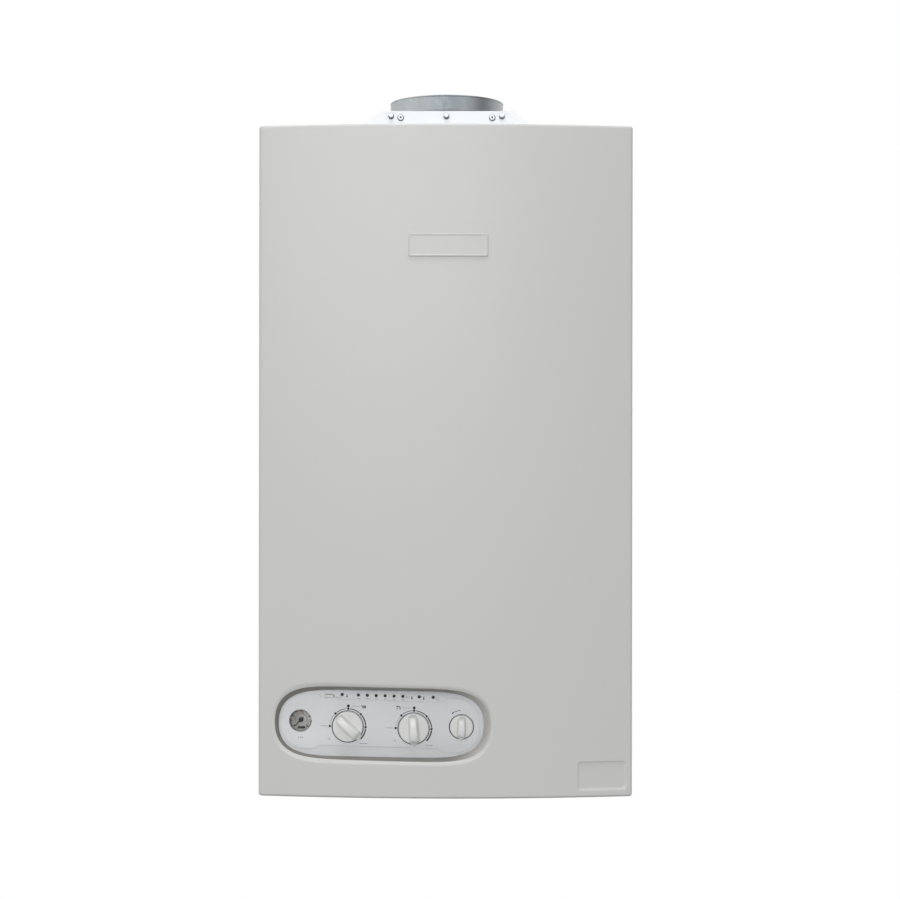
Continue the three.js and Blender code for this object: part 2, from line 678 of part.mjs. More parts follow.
function floorSheet() {
  const baseFront = -boxBack + floorPlate.boxGap;
  const tongueFront = -casing.depth + floorPlate.tongueInset;
  const base = cuboid([-innerHalf, baseFront, floorBottom], [innerHalf, 0, floorTop]);
  const tongue = (left, right) => cuboid(
    [left, tongueFront, floorBottom], [right, baseFront + overrun, floorTop],
  );
  const tongues = [
    tongue(-innerHalf, -innerHalf + floorPlate.outerTongue),
    tongue(boxRight + hinge.lugGap, innerHalf),
  ];
  const pipeHoles = stubPlaces().map(({ x }) => rod(
    [x, -stub.y, floorBottom - overrun], [x, -stub.y, floorTop + overrun], stub.thread + seat,
  ));
  const tapHole = rod(
    [block.riserX, -tap.front, floorBottom - overrun], [block.riserX, -tap.front, floorTop + overrun],
    tap.spindle + tap.holeMargin, coarse,
  );
  const slots = sideShares.map((side) => cuboid(
    [side * screwX - floorPlate.screwSlot / 2, tongueFront - overrun, floorBottom - overrun],
    [side * screwX + floorPlate.screwSlot / 2, screwY + floorPlate.screwSlot / 2, floorTop + overrun],
  ));
  const earOutline = [
    [-hingeY + hinge.earRadius, floorTop - floorPlate.sheet / 2],
    ...arc(-hingeY, hingeZ, hinge.earRadius, 0, 180, 8),
    [-hingeY - hinge.earRadius, floorTop - floorPlate.sheet / 2],
  ];
  const ears = earPlaces().map((left) => drawnRight(earOutline, left, hinge.ear));
  const rodHole = rod(
    [-casing.width, -hingeY, hingeZ], [casing.width, -hingeY, hingeZ], hinge.rod + seat,
  );
  return cut(joined(base, tongues, ears), pipeHoles, tapHole, slots, rodHole);
}

const stubPlaces = () => [
  { name: 'heating_flow_stub', x: -2 * stub.pitch },
  { name: 'hot_water_stub', x: -stub.pitch },
  { name: 'gas_stub', x: 0 },
  { name: 'cold_water_stub', x: stub.pitch },
  { name: 'heating_return_stub', x: 2 * stub.pitch },
];

const earPlaces = () => [boxLeft - hinge.lugGap - hinge.ear, boxRight + hinge.lugGap];

function hingeRod() {
  const [left, right] = earPlaces();
  return rod([left - seat, -hingeY, hingeZ], [right + hinge.ear + seat, -hingeY, hingeZ], hinge.rod);
}

function chassisPlate(side) {
  const near = stack.halfWidth + chassis.gap;
  const far = near + chassis.sheet;
  const back = -frame.standoff - seat;
  const bottom = burnerBottom - chassis.below;
  const top = hoodShoulder + chassis.above;
  const spread = (from, to) => (side < 0 ? [-to, -from] : [from, to]);
  const [left, right] = spread(near, far);
  const web = cuboid([left, -hoodFront, bottom], [right, back, top]);
  const [flangeLeft, flangeRight] = spread(near, far + chassis.flange);
  const flange = cuboid([flangeLeft, back - chassis.sheet, bottom], [flangeRight, back, top]);
  const hole = rod(
    [left - overrun, portY, exchangerMiddle], [right + overrun, portY, exchangerMiddle],
    exchanger.stubRadius + slip,
  );
  return cut(joined(web, flange), hole);
}

// Flue and hood pieces

function hoodHalfWidthAt(z) {
  const share = (hoodTop - z) / hood.slopeHeight;
  return hood.topHalfWidth + (stack.halfWidth - hood.topHalfWidth) * share;
}

// The hood seen from the front, drawn in by a distance: upright sides under a sloping top.
function hoodOutline(bottom, inset) {
  const slope = Math.atan2(hood.slopeHeight, stack.halfWidth - hood.topHalfWidth);
  const shift = inset * Math.tan(slope / 2);
  const topShift = inset / Math.tan((Math.PI - slope) / 2);
  const half = stack.halfWidth - inset;
  const topHalf = hood.topHalfWidth - topShift;
  return [[-half, bottom], [half, bottom], [half, hoodShoulder - shift], [topHalf, hoodTop - inset],
    [-topHalf, hoodTop - inset], [-half, hoodShoulder - shift]];
}

function draughtHood() {
  const depth = hood.depth;
  const outer = drawnForward(hoodOutline(hoodBottom, 0), hoodBack, depth);
  const inner = drawnForward(
    hoodOutline(hoodBottom - overrun, hood.sheet), hoodBack + hood.sheet, depth - 2 * hood.sheet,
  );
  const spill = cuboid(
    [-stack.halfWidth + hood.sheet, -hoodFront - overrun, hoodBottom - overrun],
    [stack.halfWidth - hood.sheet, -hoodFront + overrun, hoodBottom + hood.spill],
  );
  const centre = [0, -flueY];
  const mouth = rod(
    [...centre, hoodTop - overrun], [...centre, hoodTop + overrun], flue.radius - flue.wall, finest,
  );
  return cut(outer, inner, spill, mouth, screwPlaces().map((place) => screwHole(place)));
}

function flueCollar() {
  const profile = [
    [flue.radius - flue.wall, 0],
    [flue.radius + flue.foot, 0],
    [flue.radius + flue.foot, flue.footHeight],
    [flue.radius, flue.footHeight],
    [flue.radius, flue.height],
    [flue.radius - flue.wall, flue.height],
  ];
  return turned(profile, [0, -flueY, hoodTop], up, finest);
}

const screwPlaces = () => [
  { name: 'hood_screw_left', x: -hoodPlate.screwX, drop: hoodPlate.screwDrop, hex: true },
  { name: 'hood_screw_middle', x: 0, drop: hoodPlate.screwDrop, hex: true },
  { name: 'hood_screw_right', x: hoodPlate.screwX, drop: hoodPlate.screwDrop, hex: true },
  { name: 'washer_screw_left', x: -hoodPlate.washerX, drop: hoodPlate.washerDrop, hex: false },
  { name: 'washer_screw_right', x: hoodPlate.washerX, drop: hoodPlate.washerDrop, hex: false },
];

function screwHole({ x, drop }) {
  const z = hoodTop - drop;
  return rod(
    [x, -hoodFront - overrun, z], [x, -hoodFront + overrun, z], hexScrew.shank + seat, coarse,
  );
}

function hoodFrontPlate() {
  const bottom = hoodTop - hoodPlate.height;
  const halfBottom = hoodHalfWidthAt(bottom);
  const outline = [
    [-halfBottom, bottom],
    [halfBottom, bottom],
    [hood.topHalfWidth, hoodTop],
    [-hood.topHalfWidth, hoodTop],
  ];
  const sheet = drawnForward(outline, hoodFront + seat, hoodPlate.sheet);
  return cut(sheet, screwPlaces().map((place) => screwHole(place)));
}

function hoodScrew({ x, drop, hex }) {
  const from = [x, -(hoodFront + seat + hoodPlate.sheet), hoodTop - drop];
  const along = (distance) => [from[0], from[1] - distance, from[2]];
  if (hex) {
    const flange = rod(from, along(hexScrew.flangeHeight), hexScrew.flange, coarse);
    const head = rod(from, along(hexScrew.headHeight), hexScrew.head, 6);
    return joined(flange, head, rod(along(-hexScrew.length), along(hexScrew.headHeight / 2), hexScrew.shank, coarse));
  }
  const washer = rod(from, along(washerScrew.washerHeight), washerScrew.washer, round);
  const head = rod(from, along(washerScrew.headHeight), washerScrew.head, coarse);
  const shank = rod(along(-washerScrew.length), along(washerScrew.washerHeight / 2), washerScrew.shank, coarse);
  return joined(washer, head, shank);
}

function flueThermostat() {
  const face = -(hoodFront + seat);
  const z = hoodBottom + thermostat.rise;
  const lug = cuboid(
    [thermostat.x - thermostat.lugWidth / 2, face - thermostat.lugSheet, z - thermostat.lugHeight / 2],
    [thermostat.x + thermostat.lugWidth / 2, face, z + thermostat.lugHeight / 2],
  );
  const can = rod(
    [thermostat.x, face, z], [thermostat.x, face - thermostat.height, z], thermostat.radius,
  );
  const pins = sideShares.map((side) => cuboid(
    [thermostat.x + (side * thermostat.radius) / 2 - thermostat.lugSheet, face - 2 * thermostat.height,
      z - thermostat.lugHeight / 4],
    [thermostat.x + (side * thermostat.radius) / 2, face - thermostat.height / 2,
      z + thermostat.lugHeight / 4],
  ));
  return joined(lug, can, pins);
}

// Combustion pieces

function boxTube(half, front, back, bottom, top, wall) {
  return cut(
    cuboid([-half, -front, bottom], [half, -back, top]),
    cuboid([-half + wall, -front + wall, bottom - overrun], [half - wall, -back - wall, top + overrun]),
  );
}

function electrodeHoles() {
  return sideShares.map((side) => rod(
    [side * electrode.x, -stackFront - overrun, electrodeZ],
    [side * electrode.x, -stackFront + lining.thickness + overrun, electrodeZ],
    electrode.ceramic + electrode.clearance, coarse,
  ));
}

function combustionChamber() {
  const skin = boxTube(stack.halfWidth, stackFront, stackBack, chamberBottom, chamberTop, chamber.sheet);
  return cut(skin, electrodeHoles());
}

function chamberLining() {
  const skin = chamber.sheet + seat;
  const board = boxTube(
    stack.halfWidth - skin, stackFront - skin, stackBack + skin,
    chamberBottom + lining.endGap, chamberTop - lining.endGap, lining.thickness,
  );
  return cut(board, electrodeHoles());
}

function heatExchanger() {
  const half = stack.halfWidth;
  const jacket = boxTube(half, stackFront, stackBack, exchangerBottom, exchangerTop, exchanger.skin);
  const wall = exchanger.skin / 2;
  const core = cuboid(
    [-half + wall, -stackFront + wall, exchangerMiddle - exchanger.coreHalf],
    [half - wall, -stackBack - wall, exchangerMiddle + exchanger.coreHalf],
  );
  const pitch = (2 * half) / (exchanger.finCount + 1);
  const fins = Array.from({ length: exchanger.finCount }, (_, index) => {
    const x = -half + pitch * (index + 1);
    return cuboid(
      [x - exchanger.fin / 2, -stackFront + wall, exchangerBottom + exchanger.endGap],
      [x + exchanger.fin / 2, -stackBack - wall, exchangerTop - exchanger.endGap],
    );
  });
  const port = rod(
    [-half - exchanger.stubLength, portY, exchangerMiddle],
    [half + exchanger.stubLength, portY, exchangerMiddle], exchanger.stubRadius,
  );
  return joined(jacket, core, fins, port);
}

function burnerRack() {
  const half = stack.halfWidth;
  const rim = boxTube(half, stackFront, stackBack, burnerBottom, burnerBottom + burner.rimHeight, burner.rim);
  const crown = burner.barWidth / 2;
  const firstX = -(burner.barPitch * (burner.barCount - 1)) / 2;
  const bars = [];
  const cuts = [];
  for (let index = 0; index < burner.barCount; index += 1) {
    const x = firstX + index * burner.barPitch;
    const outline = [
      [x - crown, burnerBottom],
      [x + crown, burnerBottom],
      ...arc(x, burnerTop - crown, crown, 0, 180, 4),
    ];
    bars.push(drawnForward(outline, stackBack + burner.rim / 2, stackFront - stackBack - burner.rim));
    const z = manifoldZ;
    cuts.push(rod([x, -stackFront - overrun, z], [x, -stackFront + burner.mouthDepth, z], burner.mouth, 8));
  }
  const slots = [];
  const reach = stackFront - stackBack - 2 * burner.slotPitch;
  for (let along = 0; along <= reach; along += burner.slotPitch) {
    const y = -stackFront + burner.slotPitch + along;
    slots.push(cuboid(
      [-half + overrun, y - burner.slotWidth / 2, burnerTop - burner.slotDepth],
      [half - overrun, y + burner.slotWidth / 2, burnerTop + overrun],
    ));
  }
  return cut(joined(rim, bars), cuts, slots);
}

function gasManifold() {
  const half = manifold.size / 2;
  const front = -manifoldBack - manifold.size;
  const firstX = -(burner.barPitch * (burner.barCount - 1)) / 2;
  const halfLength = manifold.endLength - firstX;
  const bar = cuboid([-halfLength, front, manifoldZ - half], [halfLength, -manifoldBack, manifoldZ + half]);
  const jets = Array.from({ length: burner.barCount }, (_, index) => {
    const x = firstX + index * burner.barPitch;
    const start = [x, -manifoldBack - half, manifoldZ];
    const base = rod(start, [x, -manifoldBack + manifold.jetBaseLength, manifoldZ], manifold.jetBase, 6);
    const nozzle = rod(start, [x, -manifoldBack + manifold.jetLength, manifoldZ], manifold.jet, 8);
    return joined(base, nozzle);
  });
  const feet = sideShares.map((side) => {
    const outer = side * (halfLength - manifold.footWidth / 2);
    return cuboid(
      [outer - manifold.footWidth / 2, -manifoldBack - half, manifoldZ + half - manifold.footSheet],
      [outer + manifold.footWidth / 2, -stackFront - seat, manifoldZ + half],
    );
  });
  return joined(bar, jets, feet);
}

function electrodeAt(side) {
  const at = (depth) => [side * electrode.x, -depth, electrodeZ];
  const outside = stackFront + electrode.outside;
  const ceramic = rod(at(outside), at(stackFront - lining.thickness - overrun), electrode.ceramic);
  const tip = rod(at(stackFront), at(stackFront - electrode.tipLength), electrode.tip, 8);
  const terminal = rod(at(outside + electrode.terminalLength), at(outside - overrun), electrode.terminal, 8);
  const flange = cuboid(
    [side * electrode.x - electrode.plateWidth / 2, -stackFront - seat - electrode.plateSheet,
      electrodeZ - electrode.plateHeight / 2],
    [side * electrode.x + electrode.plateWidth / 2, -stackFront - seat, electrodeZ + electrode.plateHeight / 2],
  );
  return joined(ceramic, tip, terminal, flange);
}

// Gas pieces

function gasValve() {
  const body = drawnForward(
    roundedRectangle(-valve.halfWidth, valve.bottom, valve.halfWidth, valve.top, valve.corner, 2),
    valve.back, valve.front - valve.back,
  );
  const bosses = rod(
    [0, -valve.y, valve.bottom - valve.bossHeight], [0, -valve.y, valve.top + valve.bossHeight], valve.boss,
  );
  const coils = sideShares.map((side) => {
    const x = side * valve.coilX;
    const end = valve.front + valve.coilLength;
    return joined(
      rod([x, -valve.front + overrun, valve.coilZ], [x, -end, valve.coilZ], valve.coil),
      rod([x, -end + overrun, valve.coilZ], [x, -end - valve.coilCapLength, valve.coilZ], valve.coilCap, coarse),
    );
  });
  const adjuster = rod(
    [0, -valve.front + overrun, valve.adjusterZ], [0, -valve.front - valve.adjusterLength, valve.adjusterZ],
    valve.adjuster, 8,
  );
  const taps = sideShares.map((side) => rod(
    [side * valve.tapX, -valve.front + overrun, valve.adjusterZ],
    [side * valve.tapX, -valve.front - valve.adjusterLength / 2, valve.adjusterZ], valve.tapRadius, 8,
  ));
  return joined(body, bosses, coils, adjuster, taps);
}

function gasInletPipe() {
  return tube([
    [0, -stub.y, stub.tubeTop + seat],
    [0, -stub.y, gasPipe.kneeLow],
    [0, -valve.y, gasPipe.kneeHigh],
    [0, -valve.y, valve.bottom - valve.bossHeight - seat],
  ], gasPipe.radius, gasPipe.bend);
}

function gasFeedPipe() {
  const y = -manifoldBack - manifold.size / 2;
  return tube([
    [0, -valve.y, valve.top + valve.bossHeight + seat],
    [0, -valve.y, feedPipe.lowZ],
    [0, y, feedPipe.highZ],
    [0, y, manifoldZ - manifold.size / 2 - seat],
  ], feedPipe.radius, feedPipe.bend);
}

// Water pieces

function expansionVessel() {
  const { radius, thickness, dish, seam, seamHeight } = vessel;
  const middle = thickness / 2;
  const flank = radius - seam;
  const dished = (wall) => dishShares.map(([across, deep]) => [(flank - wall) * across, wall + dish * deep]);
  const half = (wall) => [[0, wall], ...dished(wall), [flank - wall, dish + wall]];
  const mirrored = (points) => points.map(([across, deep]) => [across, thickness - deep]).reverse();
  const profile = [
    ...half(0),
    [flank, middle - seamHeight / 2],
    [radius, middle - seamHeight / 2],
    [radius, middle + seamHeight / 2],
    [flank, middle + seamHeight / 2],
    ...mirrored(half(0)),
  ];
  const centre = [0, -vesselBack, vesselZ];
  const body = turned(profile, centre, forward, fine);
  const hollow = turned([...half(vessel.wall), ...mirrored(half(vessel.wall))], centre, forward, coarse);
  const along = (z) => [0, -vesselBack - middle, z];
  const port = rod(along(vesselZ - flank + overrun), along(vesselPortZ()), vessel.port);
  const bore = rod(along(vesselZ - flank + 2 * overrun), along(vesselPortZ() - overrun), vessel.bore, coarse);
  return cut(joined(cut(body, hollow), port), bore);
}

function vesselPortZ() {
  return vesselZ - vessel.radius - vessel.portDrop;
}

function vesselPipe() {
  const endX = block.inner - thinPipe.fittingLength - seat;
  const y = vesselBack + vessel.thickness / 2;
  return tube([
    [0, -y, vesselPortZ() - seat],
    [0, -y, vesselPortZ() - 2 * thinPipe.bend],
    [endX / 2, -(plates.front + stub.y) / 2, plates.top + thinPipe.bend],
    [endX / 2, -stub.y + thinPipe.radius, block.z + 2 * thinPipe.bend],
    [endX / 2, -stub.y, block.z],
    [endX, -stub.y, block.z],
  ], thinPipe.radius, thinPipe.bend, 10);
}

// The shared form of the two brass blocks: a barrel with feet, a riser and its rear port.
function brassBlock(side) {
  const across = (x) => side * x;
  const y = -stub.y;
  const barrel = rod([across(block.inner), y, block.z], [across(block.outer), y, block.z], block.radius);
  const feet = [stub.pitch, 2 * stub.pitch].map((x) => rod(
    [across(x), y, stub.tubeTop + seat], [across(x), y, block.z], block.footRadius,
  ));
  const riser = rod([across(block.riserX), y, block.z], [across(block.riserX), y, block.riserTop + block.portRadius], block.riserRadius);
  const port = rod(
    [across(block.riserX), y, block.portZ], [across(block.riserX), -plates.front - seat, block.portZ], block.portRadius,
  );
  return joined(barrel, feet, riser, port);
}

function returnBlock() {
  const y = -stub.y;
  const pumpPort = rod([pump.x, y, block.z], [pump.x, y, pump.portBottom], pump.portRadius);
  const valveBody = rod([safety.x, y, block.z], [safety.x, -safety.front, block.z], safety.radius, 8);
  const tapArm = rod([block.riserX, y, block.z], [block.riserX, -tap.front, block.z], tap.radius, coarse);
  const tapBody = rod([block.riserX, -tap.front, block.z + tap.radius], [block.riserX, -tap.front, tap.bottom], tap.neck, coarse);
  const fitting = rod([block.inner + overrun, y, block.z], [block.inner - thinPipe.fittingLength, y, block.z], thinPipe.fitting, 6);
  return joined(brassBlock(1), pumpPort, valveBody, tapArm, tapBody, fitting);
}

function flowBlock() {
  const y = -stub.y;
  const pipePort = rod([-pump.x, y, block.z], [-pump.x, y, waterPipe.portTop], block.footRadius);
  const boss = rod([-diverter.x, y, block.z], [-diverter.x, y, diverter.top], diverter.boss);
  return joined(brassBlock(-1), pipePort, boss);
}

function diverterActuator() {
  const bottom = diverter.top + seat;
  const outline = (inset) => roundedRectangle(
    -diverter.x - diverter.width / 2 + inset, -stub.y - diverter.depth / 2 + inset,
    -diverter.x + diverter.width / 2 - inset, -stub.y + diverter.depth / 2 - inset, diverter.corner - inset,
  );
  return joined(
    raised(outline(0), bottom, diverter.height - diverter.cap),
    raised(outline(diverter.capInset), bottom, diverter.height),
  );
}

function plateExchanger() {
  const outline = (inset) => roundedRectangle(
    -plates.halfWidth + inset, plates.bottom + inset, plates.halfWidth - inset, plates.top - inset,
    plates.corner - inset, 2,
  );
  const depth = plates.pitch * plates.count;
  const core = drawnForward(outline(plates.lip), plates.front - depth, depth);
  const rims = Array.from({ length: plates.count }, (_, index) => (
    drawnForward(outline(0), plates.front - (index + 0.5) * plates.pitch, plates.pitch / 2)
  ));
  return joined(core, rims);
}

function pumpBody() {
  const y = -stub.y;
  const column = rod([pump.x, y, pump.portBottom + seat], [pump.x, y, pump.top], pump.portRadius);
  const volute = rod([pump.x, -pump.voluteBack, pump.voluteZ], [pump.x, -pump.voluteFront, pump.voluteZ], pump.volute, fine);
  const boss = rod([pump.ventX, y, pump.voluteZ], [pump.ventX, y, pump.ventBossTop], pump.ventBoss, coarse);
  return joined(column, volute, boss);
}

function pumpMotor() {
  const back = pump.voluteFront + seat;
  const length = motorFront - back;
  const profile = [
    [0, 0],
    [pump.motor, 0],
    [pump.motor, length - pump.motorShoulder],
    [pump.motor - pump.motorShoulder, length],
    [pump.motorShoulder, length],
    [pump.motorShoulder, length + pump.motorShoulder / 2],
    [0, length + pump.motorShoulder / 2],
  ];
  const can = turned(profile, [pump.x, -back, pump.voluteZ], forward, fine);
  const terminals = cuboid(
    [pump.x - pump.boxWidth / 2, -motorFront + pump.boxInset, pump.voluteZ],
    [pump.x + pump.boxWidth / 2, -pump.voluteFront - pump.boxGap, pump.boxTop],
  );
  return joined(can, terminals);
}

function airVent() {
  const profile = [
    [0, 0],
    [vent.neck, 0],
    [vent.neck, vent.neckHeight],
    [vent.radius, vent.neckHeight + vent.shoulder],
    [vent.radius, vent.height - vent.shoulder],
    [vent.cap, vent.height],
    [vent.cap, vent.height + vent.capHeight],
    [0, vent.height + vent.capHeight],
  ];
  return turned(profile, [pump.ventX, -stub.y, pump.ventBossTop + seat], up);
}

function waterRun(side, start) {
  const x = side * pump.x;
  const outX = side * pipeX;
  return tube([
    [x, -stub.y, start + seat],
    [x, -stub.y, start + waterPipe.kneeRise],
    [outX, portY, start + waterPipe.kneeRise + waterPipe.rise],
    [outX, portY, exchangerMiddle],
    [side * (stack.halfWidth + exchanger.stubLength + seat), portY, exchangerMiddle],
  ], waterPipe.radius, waterPipe.bend);
}

function pipeStub(x) {
  const hexBottom = floorTop + seat;
  const neck = hexBottom - stub.bottom + stub.hexHeight / 2;
  const profile = [
    [0, stub.boreDepth],
    [stub.bore, stub.boreDepth],
    [stub.bore, 0],
    [stub.thread - stub.shoulder, 0],
    [stub.thread, stub.shoulder],
    [stub.thread, neck],
    [stub.tube, neck],
    [stub.tube, stub.tubeTop - stub.bottom],
    [0, stub.tubeTop - stub.bottom],
  ];
  const body = turned(profile, [x, -stub.y, stub.bottom], up);
  const hex = rod([x, -stub.y, hexBottom], [x, -stub.y, hexBottom + stub.hexHeight], stub.hex, 6);
  return joined(body, hex);
}

function safetyValveKnob() {
  const back = -safety.front - seat;
  const outline = fluted(safety.knob, safety.flute, safety.flutes).map(([u, v]) => [safety.x + u, block.z + v]);
  const grip = drawnForward(outline, -back + safety.knobSkirt, safety.knobLength - safety.knobSkirt);
  const skirt = rod(
    [safety.x, back, block.z], [safety.x, back - safety.knobSkirt - safety.flute, block.z], safety.knob - safety.flute,
  );
  return joined(grip, skirt);
}

function fillingTapKnob() {
  const at = [block.riserX, -tap.front];
  const outline = fluted(tap.knob, tap.flute, tap.flutes).map(([u, v]) => [at[0] + u, at[1] + v]);
  const grip = raised(outline, tap.knobTop - tap.knobHeight, tap.knobHeight);
  return joined(grip, rod([...at, tap.knobTop - tap.flute], [...at, tap.bottom - seat], tap.spindle, coarse));
}

// Control pieces

function controlBox() {
  const outline = (inset) => roundedRectangle(
    boxLeft + inset, boxBottom + inset, boxRight - inset, boxTop - inset, box.corner - inset,
  );
  const depth = panelBack - boxBack;
  const shell = cut(
    drawnForward(outline(0), boxBack, depth),
    drawnForward(outline(box.sheet), boxBack + box.sheet, depth + overrun),
  );
  const pillars = sideShares.flatMap((side) => sideShares.map((level) => {
    const x = panelX + side * (panel.halfWidth - box.sheet - box.boardMargin - box.pillarInset);
    const z = panel.centreZ + level * (panel.halfHeight - box.sheet - box.boardMargin - box.pillarInset);
    return rod([x, -boxBack - box.sheet / 2, z], [x, -boardY + box.board + seat, z], box.pillar, 8);
  }));
  const slots = Array.from({ length: box.slotCount }, (_, index) => {
    const x = panelX + (index - (box.slotCount - 1) / 2) * box.slotPitch;
    const middle = -(boxBack + panelBack) / 2;
    return cuboid(
      [x - box.slotWidth / 2, middle - box.slotLength / 2, boxTop - overrun],
      [x + box.slotWidth / 2, middle + box.slotLength / 2, boxTop + overrun],
    );
  });
  const outletTop = boxTop - box.outletDrop;
  const outlet = drawnForward(
    roundedRectangle(
      panelX - box.outletWidth / 2, outletTop - box.outletHeight,
      panelX + box.outletWidth / 2, outletTop, box.outletCorner,
    ),
    boxBack - overrun, box.sheet + 2 * overrun,
  );
  const lugOutline = [
    [-hingeY + hinge.lugRadius, boxBottom + box.corner],
    [-hingeY - hinge.lugRadius + hinge.rod, boxBottom + box.corner],
    ...arc(-hingeY, hingeZ, hinge.lugRadius, 180, 360, 8).map(([y, z]) => [Math.max(y, -panelBack), z]),
  ];
  const lugs = [boxLeft, boxRight - hinge.lug].map((left) => drawnRight(lugOutline, left, hinge.lug));
  const bore = rod([-casing.width, -hingeY, hingeZ], [casing.width, -hingeY, hingeZ], hinge.rod + seat);
  return cut(joined(cut(shell, slots, outlet), pillars, lugs), bore);
}

// The raised middle of the fascia: round lobes at both ends, drawn in above and below.
function mouldingOutline() {
  const { leftX, rightX, lobe, stripTop, stripBottom, notch, topLeft, topRight, bottomLeft, bottomRight } = moulding;
  return [
    ...arc(leftX, 0, lobe, 90, 270, 14),
    [bottomLeft - notch, -lobe],
    [bottomLeft, -stripBottom],
    [bottomRight, -stripBottom],
    [bottomRight + notch, -lobe],
    ...arc(rightX, 0, lobe, -90, 90, 14),
    [topRight + notch, lobe],
    [topRight, stripTop],
    [topLeft, stripTop],
    [topLeft - notch, lobe],
  ];
}

function knobWell({ x, z, form }) {
  const [wellX, wellZ] = onPanel(x, z);
  return rod(
    [wellX, -(panelFront + panel.step) + form.well, wellZ],
    [wellX, -(panelFront + panel.step) - overrun, wellZ], form.radius + form.gap, fine,
  );
}

function panelHole(x, z, radius, sides = round) {
  const [holeX, holeZ] = onPanel(x, z);
  return rod([holeX, -panelBack + overrun, holeZ], [holeX, -panelFront - overrun, holeZ], radius, sides);
}

function controlFascia() {
  const sheet = drawnForward(
    roundedRectangle(boxLeft, boxBottom, boxRight, boxTop, panel.corner), panelBack, panel.sheet,
  );
  const middle = drawnForward(onPanelOutline(mouldingOutline()), panelBack, panel.sheet + panel.step);
  const buttonHole = drawnForward(
    onPanelOutline(buttonOutline(button.gap)), panelBack - overrun, panel.sheet + 2 * overrun,
  );
  return cut(
    joined(sheet, middle),
    knobs.map(knobWell),
    knobs.map(({ x, z, form }) => panelHole(x, z, form.stem + seat)),
    panelHole(gauge.x, gauge.z, gauge.window, fine),
    lampPlaces().map((x) => panelHole(x, lamp.z, lamp.hole, coarse)),
    buttonHole,
  );
}

function buttonOutline(grow) {
  const halfWidth = button.width / 2 + grow;
  const halfHeight = button.height / 2 + grow;
  return roundedRectangle(
    button.x - halfWidth, button.z - halfHeight, button.x + halfWidth, button.z + halfHeight, halfHeight / 2, 2,
  );
}

function resetButton() {
  const cap = drawnForward(onPanelOutline(buttonOutline(0)), panelFront - button.length, button.length + button.proud);
  const flange = drawnForward(
    onPanelOutline(buttonOutline(button.flange)), panelBack - seat - button.flangeSheet, button.flangeSheet,
  );
  return joined(cap, flange);
}

const lampPlaces = () => lampPlaceShares.map((share) => lamp.firstX + share * lamp.pitch);

function statusLights() {
  const places = lampPlaces();
  const halfBar = lamp.barHeight / 2;
  const bar = drawnForward(
    onPanelOutline(roundedRectangle(
      places[0] - halfBar, lamp.z - halfBar, places.at(-1) + halfBar, lamp.z + halfBar, halfBar / 2, 1,
    )),
    panelBack - seat - lamp.barSheet, lamp.barSheet,
  );
  const pins = places.map((x) => {
    const [pinX, pinZ] = onPanel(x, lamp.z);
    return rod([pinX, -panelBack + lamp.barSheet, pinZ], [pinX, -panelFront - lamp.proud, pinZ], lamp.pin, coarse);
  });
  return joined(bar, pins);
}

function circuitBoard() {
  const margin = box.sheet + box.boardMargin;
  const board = cuboid(
    [boxLeft + margin, -boardY, boxBottom + margin],
    [boxRight - margin, -boardY + box.board, boxTop - margin],
  );
  const pots = knobs.map(({ x, z }) => {
    const [potX, potZ] = onPanel(x, z);
    return rod([potX, -boardY + box.board / 2, potZ], [potX, -potTop, potZ], box.potRadius, coarse);
  });
  const relays = Array.from({ length: box.relayCount }, (_, index) => {
    const x = panelX + (index - (box.relayCount - 1) / 2) * box.relayPitch;
    const z = panel.centreZ - box.relayRow;
    return cuboid(
      [x - box.relayWidth / 2, -boardY - box.relayDepth, z - box.relayHeight / 2],
      [x + box.relayWidth / 2, -boardY + box.board / 2, z + box.relayHeight / 2],
    );
  });
  const [switchX, switchZ] = onPanel(button.x, button.z);
  const tact = cuboid(
    [switchX - button.width / 2, -panelFront + button.length + button.flange + seat, switchZ - button.height],
    [switchX + button.width / 2, -boardY + box.board / 2, switchZ + button.height],
  );
  return joined(board, pots, relays, tact);
}

// A control knob seen from the front: a disc with a beak, a raised grip bar and a stem.
function knobSolid({ x, z, rest, form }) {
  const [centreX, centreZ] = onPanel(x, z);
  const turn = THREE.MathUtils.degToRad(rest - panel.turn);
  const place = ([u, v]) => [
    centreX + u * Math.cos(turn) - v * Math.sin(turn),
    centreZ + u * Math.sin(turn) + v * Math.cos(turn),
  ];
  const base = panelFront + panel.step - form.well + form.floorGap;
  const face = panelFront + panel.step + form.skirt;
  const centre = [centreX, -base, centreZ];
  const beakEnd = form.radius + form.beakLength;
  const disc = turned([
    [0, 0],
    [form.radius, 0],
    [form.radius, face - base - form.edge],
    [form.radius - form.edge, face - base],
    [0, face - base],
  ], centre, forward, finest);
  const beak = drawnForward([
    [-form.beak, -Math.sqrt(form.radius ** 2 - form.beak ** 2)],
    [-form.beak / 2, -beakEnd],
    [form.beak / 2, -beakEnd],
    [form.beak, -Math.sqrt(form.radius ** 2 - form.beak ** 2)],
    [0, -form.radius / 2],
  ].map(place), panelFront + panel.step + form.floorGap, form.skirt - form.floorGap);
  const barOutline = [
    [-form.gripTaper, form.radius],
    ...arc(0, -form.radius + form.gripHalf / 2, form.gripHalf, 180, 360, 8),
    [form.gripTaper, form.radius],
  ].map(place);
  const bar = drawnForward(barOutline, base + form.edge, form.height + form.well);
  const dome = turned([
    [0, 0],
    [form.radius - form.edge, 0],
    [form.radius - form.edge, face - base],
    [form.radius - form.crown, form.height - form.crown],
    [form.radius - 2 * form.crown, form.height - form.crown / 3],
    [0, form.height],
  ], centre, forward, fine);
  const tip = [centreX, -potTop - seat, centreZ];
  return joined(disc, beak, bar.intersect(dome), rod(centre.map((v, i) => (i === 1 ? v - form.edge : v)), tip, form.stem, coarse));
}

